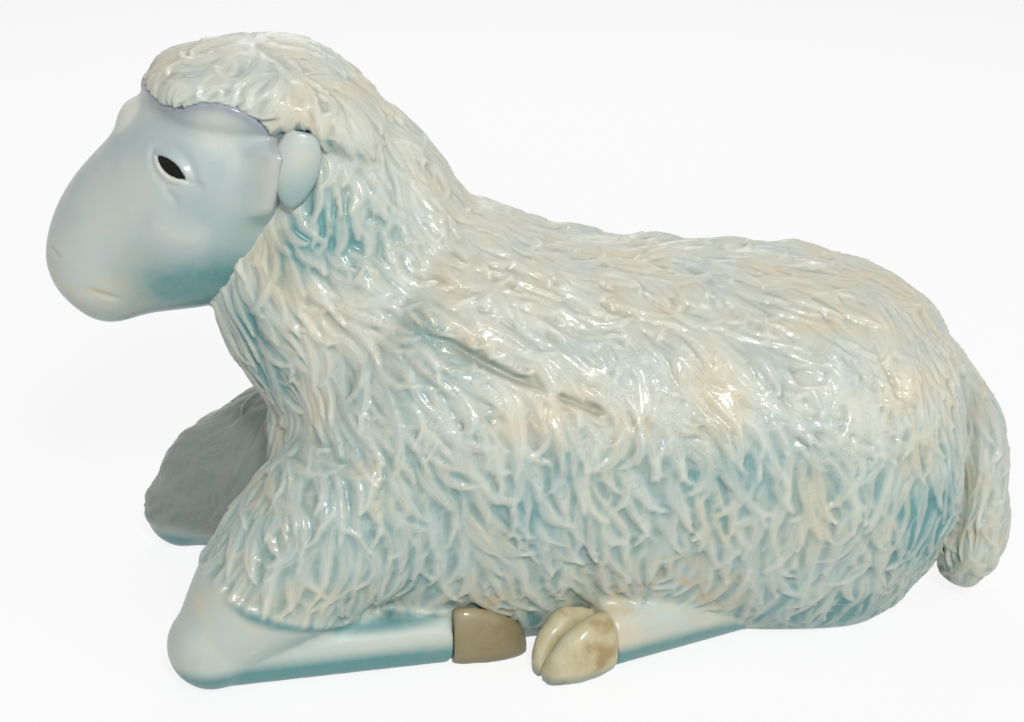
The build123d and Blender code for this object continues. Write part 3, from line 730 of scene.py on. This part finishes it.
# the bare head: lids, creases, nostrils, mouth and the raised edge of the cheek
face = {
    "voxel": 1.3, "smoothing": 6,
    "eye": (-147.2, -33.3, 197.8), "eyeOut": (-0.30, -0.92, 0.25), "eyeLong": (0.72, -0.43, -0.54),
    "halfLong": 7.2, "halfUp": 2.3, "halfDown": 2.4,
    "bead": (8.6, 6.2, 4.0), "beadDepth": 3.7, "lid": 0.8,
    "stepRounds": 110,  # smoothing of the step where the cap's rim stood
    "bump": (-164, -4, 212), "bumpHigh": 4.0, "bumpRadius": 8,
    "browPlace": (-130, -41, 211), "tuck": 4.2,
    "neckPoint": (-0.098, 0, 0.196), "neckShare": (0.05, 0.6, 0.6),
    "unevenness": 0.12,
}
headCo, headQuads = softSkin(["head", "wool_cap", "eye_left", "eye_right"],
                             face["voxel"], face["smoothing"])
headEdges = edgesOf(headQuads)
hx, hy, hz = headCo.T / mm
step = (ramp(hz, 196, 205) * (1 - ramp(hz, 221, 225)) * ramp(-hx, 97, 102))[:, None]
headCo = headCo * (1 - step) + smoothed(headCo, headEdges, face["stepRounds"]) * step
headNormals = normalsOf(headCo, headQuads)
side = np.where(headCo[:, 1] > 0, 1.0, -1.0)


def toLeft(points):
    # mirrors the right half over to the left, and back again
    out = points.copy()
    out[:, 1] *= -side
    return out


lc, ln = toLeft(headCo), toLeft(headNormals)
eye = np.array(face["eye"]) * mm
out = unit(np.array(face["eyeOut"]))
longWay = np.array(face["eyeLong"])
longWay = unit(longWay - out * (longWay @ out))
upWay = np.cross(out, longWay)
upWay *= np.sign(upWay[2])
offset = (lc - eye) / mm
u, v, w = offset @ longWay, offset @ upWay, offset @ out
long, wide, deep = face["bead"]
beadTop = deep * np.sqrt(np.clip(1 - (u / long) ** 2 - (v / wide) ** 2, 0, 1)) - face["beadDepth"]
bow = np.clip(1 - (u / face["halfLong"]) ** 2, -4, 1)
rimGap = np.where(v > 0, v - face["halfUp"] * bow, -v - face["halfDown"] * bow) * 0.85
pastCorner = np.abs(u) - face["halfLong"]
rimGap = np.where(pastCorner > 0, np.maximum(rimGap, pastCorner), rimGap)
near = ramp(-np.linalg.norm(offset, axis=1), -15, -11)
inside = ramp(-rimGap, -0.3, 0.3) * near
lidTop = beadTop + face["lid"]
soft = 0.5 * (w + lidTop + np.sqrt((w - lidTop) ** 2 + 0.5))
target = soft * (1 - inside) + np.minimum(w, beadTop - 1.8) * inside
lc = lc + out * ((target - w) * near * mm)[:, None]
upper = ramp(v, -0.5, 0.8)
dent = near * (0.3 * upper * np.exp(-((rimGap - 1.2) / 1.4) ** 2)
               - 0.6 * upper * np.exp(-((rimGap - 4.0) / 1.6) ** 2)
               + 0.5 * (1 - upper) * np.exp(-((rimGap - 0.9) / 0.8) ** 2)
               - 0.5 * (1 - upper) * np.exp(-((rimGap - 3.0) / 1.2) ** 2)) * (1 - inside)
faceFolds = [
    # points in mm, height, width: creases round the eye
    ([(-142.5, -36, 193.6), (-138, -37, 192.3), (-134, -37.5, 191)], -0.7, 1.3),
    ([(-150.5, -32, 192.5), (-147.5, -35, 187.5), (-144.5, -36.5, 184)], -0.7, 1.6),
    ([(-155.5, -27.5, 203.5), (-153, -29, 201.5), (-151, -30, 200)], -0.6, 1.2),
    # nostril and mouth
    ([(-197.3, -8, 161.5), (-196, -12.5, 161.5), (-192.6, -16.5, 158.5)], -1.5, 1.3),
    ([(-197.5, -5.5, 163.5), (-195, -11, 164), (-191, -16, 162)], 0.6, 1.8),
    ([(-199, 0, 151), (-196.5, -12, 152.5), (-190, -17, 150), (-180, -20.5, 146.5),
      (-168, -20, 141.8)], -0.8, 1.3),
    # cheek bone and jaw
    ([(-160, -29, 178), (-146, -35, 172), (-132, -37, 170)], 0.8, 7),
]
for points, depth, width in faceFolds:
    dent = dent + fold(lc, points, depth, width)
# the bump on the forehead
dent = dent + face["bumpHigh"] * np.exp(-(farFrom(lc, face["bump"]) / face["bumpRadius"]) ** 2)
lc = lc + ln * (dent * mm)[:, None]
hx, hy, hz = lc.T / mm
# the cheek's raised edge: where it runs and how far out it stands, both by height
edgeAt = np.interp(hz, [150, 168, 180, 190, 202, 211], [-122, -114, -110.2, -107.2, -105.0, -107.5])
flare = ramp(hz, 172, 184) * (1 - ramp(hz, 203, 211))
aim = np.interp(hz, [172, 180, 190, 202, 211], [36, 40.5, 42.5, 44.0, 42.0])
lifted = ramp(hx, edgeAt - 17, edgeAt - 1.5) * (1 - ramp(hx, edgeAt - 0.4, edgeAt + 1.4))
outward = np.maximum(aim + hy, 0) * flare * lifted * ramp(-hy, 20, 30)
lc[:, 1] -= outward * mm
# what lies above the wool's edge or behind the cheek tucks under
over = ramp(hz - plateRim(hx), 0.2, 2.4)
behind = 0.5 * ramp(hx, edgeAt + 1, edgeAt + 4) * ramp(hz, 166, 176)
lc = lc - ln * (face["tuck"] * np.maximum(over, behind) * mm)[:, None]
nearRim = np.exp(-((hz - plateRim(hx)) / 5) ** 2) * ramp(-hx, 100, 104)
nearRim = np.maximum(nearRim, np.exp(-((hx - edgeAt - 2) / 4) ** 2) * ramp(hz, 168, 176))[:, None]
lc = lc * (1 - nearRim) + smoothed(lc, headEdges, 5) * nearRim
# the part under the wool draws back into the neck
back = ramp(hx, -99, -92)[:, None]
drawn = np.array(face["neckPoint"]) + (lc - face["neckPoint"]) * face["neckShare"]
lc = lc * (1 - back) + drawn * back
headCo = toLeft(lc)
uneven = bumps(headCo, 9, 21) * face["unevenness"] * mm
headCo = headCo + normalsOf(headCo, headQuads) * uneven[:, None]
headNormals = normalsOf(headCo, headQuads)
mesh = makeMesh("face_head", headCo, headQuads)
faceTeal = [
    (-128, -33, 156, 15, 0.6), (-140, -30, 150, 14, 0.62), (-152, -26, 148, 13, 0.6),
    (-120, -36, 172, 13, 0.4), (-138, -38, 182, 12, 0.3), (-118, -38, 190, 12, 0.25),
    (-134, -22, 141, 12, 0.7), (-164, -24, 154, 12, 0.3), (-156, -29, 160, 12, 0.35),
]
faceBlush = [
    (-190, -12, 146, 10, 0.5), (-180, -18, 142, 9, 0.5), (-168, -20, 141, 6, 0.8),
    (-197, -8, 158, 6, 0.4), (-166, -26, 150, 9, 0.3),
]
rimShade = np.exp(-((plateRim(hx) - hz) / 3.2) ** 2) * ramp(-hx, 106, 112)
sideShade = np.exp(-((edgeAt - hx + 0.5) / 2.2) ** 2)
sideShade = sideShade * ramp(hz, 176, 182) * (1 - ramp(hz, 206, 212))
shadeUnderCap = 0.8 * rimShade + 0.5 * sideShade + 0.9 * behind
# relief for the paint: painted shade in the dents, painted highlight on the bumps
hollows = np.clip(0.45 + dent * 0.35, 0, 1)
# painted highlight on the brow of the near side, and a paler lower lid
brow = np.linalg.norm((lc - np.array(face["browPlace"]) * mm) * (1, 1, 1.3), axis=1) / mm
browHighlight = 0.46 * np.exp(-(brow / 17) ** 2) * ramp(-headCo[:, 1], 0, 10 * mm)
hollows = np.maximum(hollows, 0.45 + browHighlight)
hollows = np.where(near * (rimGap < 2.2) * (rimGap > 0) * (v < 0) > 0, 0.9, hollows)
# teal on the face: dabs of teal paint and painted shade under the jaw and cheek, and painted shade
# on surfaces facing down
tealPaintAndShade = np.clip(softDabs(headCo, faceTeal) + 0.5 * ramp(-headNormals[:, 2], 0.2, 0.9), 0, 1)
setPaint(mesh, hollows, tealPaintAndShade, softDabs(headCo, faceBlush), np.clip(shadeUnderCap, 0, 1))
facePiece = addPiece("face_head", mesh, ["head"])
report("head sculpted:", len(headCo), "points")


def eyeBead(mark, name):
    # a glass bead behind the lids
    bead, faces = softSkin([name], 0.9, 2)
    ball = unit(bead - bead.mean(0)) * (1, -mark, 1)
    ball = eye - out * face["beadDepth"] * mm + mm * (
        np.outer(ball @ longWay, longWay) * long + np.outer(ball @ upWay, upWay) * wide
        + np.outer(ball @ out, out) * deep)
    mesh = makeMesh("bead_" + name, ball * (1, -mark, 1), faces)
    return addPiece("bead_" + name, mesh, [name])


beads = [eyeBead(-1, "eye_right"), eyeBead(1, "eye_left")]
ear = {"voxel": 0.9, "smoothing": 5}
hoof = {"voxel": 0.8, "smoothing": 4, "stretch": (1.1, 1, 1.14), "unevenness": 0.25,
        "foreShade": 0.8, "hindShade": 0.1}
earPieces, hoofPieces = [], []
for name in ("ear_left", "ear_right"):
    earCo, earQuads = softSkin([name], ear["voxel"], ear["smoothing"])
    mesh = makeMesh("leaf_" + name, earCo, earQuads)
    x, y, z = earCo.T / mm
    # teal towards the ear's tip and rear: painted shade
    setPaint(mesh, tealPaintAndShade=0.8 * ramp(-z, -204, -184) + 0.35 * ramp(x, -102, -90))
    earPieces.append(addPiece("leaf_" + name, mesh, [name]))
for name in ("hoof_fore_left", "hoof_fore_right", "hoof_hind_left", "hoof_hind_right"):
    fore = "fore" in name
    hoofCo, hoofQuads = modified(*nodeArrays(name), "REMESH", mode="VOXEL",
                                 voxel_size=hoof["voxel"] * mm, adaptivity=0.0)
    hoofCo = smoothed(hoofCo, edgesOf(hoofQuads), hoof["smoothing"], keepSize=True)
    if fore:
        # a little longer and higher than the casting, with its end at the shank kept in place
        hoofCo = hoofCo * hoof["stretch"] - (0.1 * hoofCo[:, 0].min(), 0, 0)
    uneven = bumps(hoofCo, 5, 31) * hoof["unevenness"] * mm
    hoofCo = hoofCo + normalsOf(hoofCo, hoofQuads) * uneven[:, None]
    mesh = makeMesh("claws_" + name, hoofCo, hoofQuads)
    # teal at the bottom: painted light bounced up from below; the fore hooves also take painted
    # shade
    setPaint(mesh, tealPaintAndShade=0.8 * ramp(-hoofCo[:, 2] / mm, -6, -1),
             dusk=hoof["foreShade"] if fore else hoof["hindShade"])
    hoofPieces.append(addPiece("claws_" + name, mesh, [name]))
report("eyes, ears and hooves made")


# materials
def linear(*srgb):
    # a colour as picked, 0 to 255, in Blender's linear values
    def one(c):
        return c / 255 / 12.92 if c <= 10 else ((c / 255 + 0.055) / 1.055) ** 2.4

    return tuple(one(c) for c in srgb) + (1,)


def addNode(tree, kind, links=None, **settings):
    node = tree.nodes.new(kind)
    for key, value in settings.items():
        setattr(node, key, value)
    for key, value in (links or {}).items():
        if isinstance(value, bpy.types.NodeSocket):
            tree.links.new(value, node.inputs[key])
        else:
            node.inputs[key].default_value = value
    return node


def calc(tree, kind, a, b=0.0, c=0.0, clamp=False):
    links = {0: a, 1: b}
    if kind == "MULTIPLY_ADD":
        links[2] = c
    return addNode(tree, "ShaderNodeMath", links, operation=kind, use_clamp=clamp).outputs[0]


def mixed(tree, amount, a, b):
    node = addNode(tree, "ShaderNodeMix", {0: amount, 6: a, 7: b}, data_type="RGBA")
    return node.outputs[2]


def span(tree, value, low, high):
    node = addNode(tree, "ShaderNodeMapRange", {0: value, 1: low, 2: high},
                   interpolation_type="SMOOTHSTEP")
    return node.outputs[0]


def fieldOf(tree, name, vector=False):
    node = addNode(tree, "ShaderNodeAttribute", attribute_type="GEOMETRY", attribute_name=name)
    return node.outputs["Vector" if vector else "Fac"]


def noiseOf(tree, where, scale, detail=4.0, rough=0.55, distortion=0.0):
    node = addNode(tree, "ShaderNodeTexNoise", {"Vector": where, "Scale": scale, "Detail": detail,
                                                "Roughness": rough, "Distortion": distortion})
    return node.outputs["Fac"]


def newGroup(name, inputs, outputs):
    tree = bpy.data.node_groups.new(name, "ShaderNodeTree")
    for label, kind, value in inputs:
        socket = tree.interface.new_socket(name=label, in_out="INPUT", socket_type=kind)
        socket.default_value = value
    for label, kind in outputs:
        tree.interface.new_socket(name=label, in_out="OUTPUT", socket_type=kind)
    return tree, tree.nodes.new("NodeGroupInput").outputs, tree.nodes.new("NodeGroupOutput").inputs


colourKind, valueKind = "NodeSocketColor", "NodeSocketFloat"


def makeHandPaint():
    # ivory ground, warm and cool patches, teal paint with painted shade and bounced light, painted
    # shade in the hollows, painted highlights on the crests, and brush streaks
    colours = {
        "Ground": (200, 202, 188), "Warm": (206, 199, 176), "Cool": (190, 198, 191),
        "Teal": (88, 140, 141), "Blush": (192, 174, 140), "Hollow": (136, 140, 130),
        "CrestHighlight": (220, 220, 206), "Dusk": (112, 118, 112),
    }
    amounts = {"Patch Scale": 38.0, "Hollow Amount": 0.45, "Teal Amount": 1.0,
               "Ragged": 1.0, "Stretch": 1.0, "Gloss": 0.36}
    sockets = [(label, colourKind, linear(*value)) for label, value in colours.items()]
    sockets += [(label, valueKind, value) for label, value in amounts.items()]
    tree, into, out = newGroup("handPaint", sockets, [
        ("Color", colourKind), ("Roughness", valueKind), ("Height", valueKind)])
    where = addNode(tree, "ShaderNodeTexCoord").outputs["Object"]
    patch = noiseOf(tree, where, into["Patch Scale"], 3.0)
    fine = noiseOf(tree, where, 420.0, 5.0, 0.6)
    relief, tealPaintAndShade, blush, dusk = (fieldOf(tree, n) for n in ("relief", "tealPaintAndShade", "blush", "dusk"))
    ground = mixed(tree, span(tree, patch, 0.5, 0.68), into["Ground"], into["Warm"])
    ground = mixed(tree, span(tree, patch, 0.5, 0.34), ground, into["Cool"])
    uneven = calc(tree, "ADD", relief, calc(tree, "MULTIPLY_ADD", fine, 0.1, -0.05))
    # painted shade: darker paint in the hollows of the relief, where shade falls
    shadeInHollows = span(tree, uneven, 0.45, 0.05)
    valley = span(tree, uneven, 0.66, 0.26)
    hollowShadeShare = calc(tree, "MULTIPLY", shadeInHollows, into["Hollow Amount"])
    shadedAndLit = mixed(tree, hollowShadeShare, ground, into["Hollow"])
    # the ragged edge of the teal and its painted shade, drawn out lengthwise
    parts = addNode(tree, "ShaderNodeSeparateXYZ", {0: where}).outputs
    lengthwise = calc(tree, "MULTIPLY", parts[0], into["Stretch"])
    drawn = addNode(tree, "ShaderNodeCombineXYZ", {
        0: lengthwise, 1: parts[1], 2: parts[2]}).outputs[0]
    streaks = calc(tree, "MULTIPLY_ADD", noiseOf(tree, drawn, 90.0, 4.0), 0.9, -0.45)
    ragged = calc(tree, "MULTIPLY", streaks, into["Ragged"])
    edge = calc(tree, "MULTIPLY", ragged, calc(tree, "MULTIPLY", tealPaintAndShade, 1.4))
    spread = calc(tree, "ADD", tealPaintAndShade, edge)
    # more teal in the valleys of the relief: painted shade
    taken = calc(tree, "MULTIPLY", spread, calc(tree, "MULTIPLY_ADD", valley, 0.85, 0.5))
    taken = calc(tree, "MULTIPLY", taken, into["Teal Amount"], clamp=True)
    # painted highlight: paler paint on the crests of the relief, where light falls
    highlightShare = calc(tree, "MULTIPLY", span(tree, uneven, 0.62, 0.95), 0.7)
    shadedAndLit = mixed(tree, highlightShare, shadedAndLit, into["CrestHighlight"])
    colour = mixed(tree, taken, shadedAndLit, into["Teal"])
    patchy = span(tree, noiseOf(tree, where, 130.0), 0.4, 0.62)
    rosy = calc(tree, "MULTIPLY", blush, patchy, clamp=True)
    colour = mixed(tree, rosy, colour, into["Blush"])
    colour = mixed(tree, dusk, colour, into["Dusk"])
    tree.links.new(colour, out["Color"])
    tree.links.new(calc(tree, "MULTIPLY_ADD", fine, 0.2, into["Gloss"]), out["Roughness"])
    tree.links.new(fine, out["Height"])
    return tree


def makeWoolStrands():
    # fine hairs that run along each lock and meet at its tip
    tree, into, out = newGroup("woolStrands", [("Hair Count", valueKind, 7.0)],
                               [("Height", valueKind), ("Mask", valueKind)])
    parts = addNode(tree, "ShaderNodeSeparateXYZ", {0: fieldOf(tree, "strand", True)}).outputs
    fade = fieldOf(tree, "strandFade")
    where = addNode(tree, "ShaderNodeCombineXYZ", {
        0: calc(tree, "MULTIPLY", parts[0], into["Hair Count"]),
        1: calc(tree, "MULTIPLY", parts[1], 2.4),
        2: calc(tree, "MULTIPLY", parts[2], 90.0)}).outputs[0]
    hair = noiseOf(tree, where, 1.0, 3.0, 0.6, 0.4)
    lines = calc(tree, "MULTIPLY", calc(tree, "SUBTRACT", hair, 0.5), fade)
    tree.links.new(lines, out["Height"])
    tree.links.new(span(tree, lines, -0.02, -0.22), out["Mask"])
    return tree


handPaint, woolStrands = makeHandPaint(), makeWoolStrands()


def newMaterial(name, rough=0.4, coat=0.0, coatRough=0.1):
    material = bpy.data.materials.new(name)
    material.use_nodes = True
    tree = material.node_tree
    shader = tree.nodes["Principled BSDF"]
    shader.inputs["Roughness"].default_value = rough
    shader.inputs["Coat Weight"].default_value = coat
    shader.inputs["Coat Roughness"].default_value = coatRough
    return material, tree, shader


def placeGroup(tree, group, **values):
    node = addNode(tree, "ShaderNodeGroup", node_tree=group)
    for key, value in values.items():
        node.inputs[key.replace("_", " ")].default_value = value
    return node.outputs


def bumpInto(tree, shader, height, distance):
    # distance in mm
    bump = addNode(tree, "ShaderNodeBump", {"Height": height, "Distance": distance * mm})
    tree.links.new(bump.outputs[0], shader.inputs["Normal"])


def woolMaterial(name, **paint):
    material, tree, shader = newMaterial(name, 0.45, 0.22, 0.12)
    colours = placeGroup(tree, handPaint, **paint)
    strands = placeGroup(tree, woolStrands)
    # painted shade in the grooves between the hairs
    hairGrooveShade = calc(tree, "MULTIPLY", strands["Mask"], 0.12)
    tone = mixed(tree, hairGrooveShade, colours["Color"], linear(150, 152, 140))
    tree.links.new(tone, shader.inputs["Base Color"])
    tree.links.new(colours["Roughness"], shader.inputs["Roughness"])
    height = calc(tree, "ADD", strands["Height"], calc(tree, "MULTIPLY", colours["Height"], 0.08))
    bumpInto(tree, shader, height, 0.6)
    return material


fleecePaint = woolMaterial("fleecePaint")
# the legs' ground is a little darker than the fleece's: painted shade, as the legs face away from
# the light
legPaint = woolMaterial("legPaint", Ground=linear(192, 198, 188), Ragged=0.8, Stretch=0.16)


def smoothMaterial(name, coat, **paint):
    material, tree, shader = newMaterial(name, 0.34, coat, 0.1)
    colours = placeGroup(tree, handPaint, **paint)
    tree.links.new(colours["Color"], shader.inputs["Base Color"])
    tree.links.new(colours["Roughness"], shader.inputs["Roughness"])
    bumpInto(tree, shader, colours["Height"], 0.05)
    return material


# a darker, cooler ground than the fleece's: partly the face's own colour, partly painted shade, as
# the face turns from the light
facePaint = smoothMaterial(
    "facePaint", 0.35, Ground=linear(182, 190, 186), Warm=linear(194, 194, 180),
    Cool=linear(170, 184, 182), Hollow=linear(110, 122, 122), Dusk=linear(138, 140, 154),
    Patch_Scale=26.0, Ragged=0.15)
hoofPaint = smoothMaterial(
    "hoofPaint", 0.3, Ground=linear(194, 184, 146), Warm=linear(162, 140, 96),
    Cool=linear(204, 198, 168), Dusk=linear(116, 102, 66), Patch_Scale=70.0)
eyeGlass, tree, shader = newMaterial("eyeGlass", 0.18, 0.0, 0.03)
shader.inputs["Specular IOR Level"].default_value = 0.2
tint = noiseOf(tree, addNode(tree, "ShaderNodeTexCoord").outputs["Object"], 300.0)
tree.links.new(mixed(tree, tint, linear(4, 4, 4), linear(14, 10, 8)), shader.inputs["Base Color"])

legPieces = [p for p in woolPieces if "foot" in p.name or "leg" in p.name]
fleecePieces = [p for p in woolPieces if p not in legPieces]
finishes = [(legPieces, legPaint), (fleecePieces, fleecePaint), (hoofPieces, hoofPaint),
            (earPieces + [facePiece], facePaint), (beads, eyeGlass)]
for pieces, paint in finishes:
    for piece in pieces:
        piece.data.materials.append(paint)

# inside and underneath
steel = ((168, 168, 165), (190, 190, 188), 500.0, 0.35, 1.0, 1.0)
insides = {
    # two colours, scale of the grain, roughness, metal, stretch of the grain along Y
    "felt_base": ((46, 66, 54), (62, 82, 66), 900.0, 0.95, 0.0, 1.0),
    "base_plate": ((120, 118, 112), (140, 136, 128), 160.0, 0.7, 0.0, 1.0),
    "base_screws": steel,
    "casting_bolts": steel,
    "casting_washers": steel,
    "screw_blocks": ((176, 140, 98), (204, 170, 124), 120.0, 0.75, 0.0, 12.0),
    "cap_dowels": ((190, 152, 104), (214, 182, 134), 160.0, 0.75, 0.0, 0.1),
    "seam_tape": ((196, 196, 178), (170, 168, 150), 700.0, 0.55, 0.0, 1.0),
    "ballast_block": ((132, 128, 120), (108, 104, 98), 220.0, 0.9, 0.0, 1.0),
}


def makeInside(name, first, second, scale, rough, metal, stretch):
    material, tree, shader = newMaterial(name + "Finish", rough)
    shader.inputs["Metallic"].default_value = metal
    where = addNode(tree, "ShaderNodeTexCoord").outputs["Object"]
    where = addNode(tree, "ShaderNodeMapping", {
        "Vector": where, "Scale": (1.0, stretch, 1.0)}).outputs[0]
    grain = noiseOf(tree, where, scale, 6.0, 0.65)
    tone = mixed(tree, span(tree, grain, 0.3, 0.7), linear(*first), linear(*second))
    tree.links.new(tone, shader.inputs["Base Color"])
    bumpInto(tree, shader, grain, 0.2)
    return material


for name, values in insides.items():
    nodes[name].data.materials.clear()
    nodes[name].data.materials.append(makeInside(name, *values))
report("materials made")


# studio: pale paper floor, soft lamps
studio = {
    # place in metres, size, power
    "key": ((0.15, -1.5, 1.15), 0.25, 20.0),
    "fill": ((1.3, -1.0, 0.8), 1.2, 3.5),
    "back": ((0.1, 1.4, 1.3), 0.9, 8.0),
    "ambient": 0.30, "aim": (0, 0, 0.1), "floorReach": 6, "floorGlow": 0.86,
}


def seenByEye(tree):
    # 1 where the camera, a reflection or glass looks at it
    paths = addNode(tree, "ShaderNodeLightPath").outputs
    mirrored = calc(tree, "MAXIMUM", paths["Is Glossy Ray"], paths["Is Transmission Ray"])
    return calc(tree, "MAXIMUM", paths["Is Camera Ray"], mirrored)


def makeStudio(look):
    mesh = bpy.data.meshes.new("floor")
    reach = look["floorReach"]
    corners = [(-reach, -reach, 0), (reach, -reach, 0), (reach, reach, 0), (-reach, reach, 0)]
    mesh.from_pydata(corners, [], [(0, 1, 2, 3)])
    floor = addObject("floor", mesh)
    material, tree, shader = newMaterial("floorPaper", 0.9)
    shader.inputs["Base Color"].default_value = linear(246, 246, 246)
    glow = addNode(tree, "ShaderNodeEmission", {"Color": (1, 1, 1, 1), "Strength": 1.0})
    share = calc(tree, "MULTIPLY", seenByEye(tree), look["floorGlow"])
    blend = addNode(tree, "ShaderNodeMixShader", {
        0: share, 1: shader.outputs[0], 2: glow.outputs[0]})
    tree.links.new(blend.outputs[0], tree.nodes["Material Output"].inputs["Surface"])
    floor.data.materials.append(material)
    for name in ("key", "fill", "back"):
        place, size, power = look[name]
        lamp = bpy.data.lights.new(name, "AREA")
        lamp.energy, lamp.size = power, size
        light = addObject(name, lamp)
        light.location = place
        towards = Vector(look["aim"]) - Vector(place)
        light.rotation_euler = towards.to_track_quat("-Z", "Y").to_euler()
    world = bpy.data.worlds.new("studio")
    bpy.context.scene.world = world
    world.use_nodes = True
    tree = world.node_tree
    soft = tree.nodes["Background"]
    soft.inputs["Color"].default_value = (1, 1, 1, 1)
    soft.inputs["Strength"].default_value = look["ambient"]
    white = addNode(tree, "ShaderNodeBackground", {"Color": (1, 1, 1, 1), "Strength": 1.0})
    blend = addNode(tree, "ShaderNodeMixShader", {
        0: seenByEye(tree), 1: soft.outputs[0], 2: white.outputs[0]})
    tree.links.new(blend.outputs[0], tree.nodes["World Output"].inputs["Surface"])


makeStudio(studio)
bpy.context.scene.view_settings.view_transform = "Standard"
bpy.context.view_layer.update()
report("scene done")
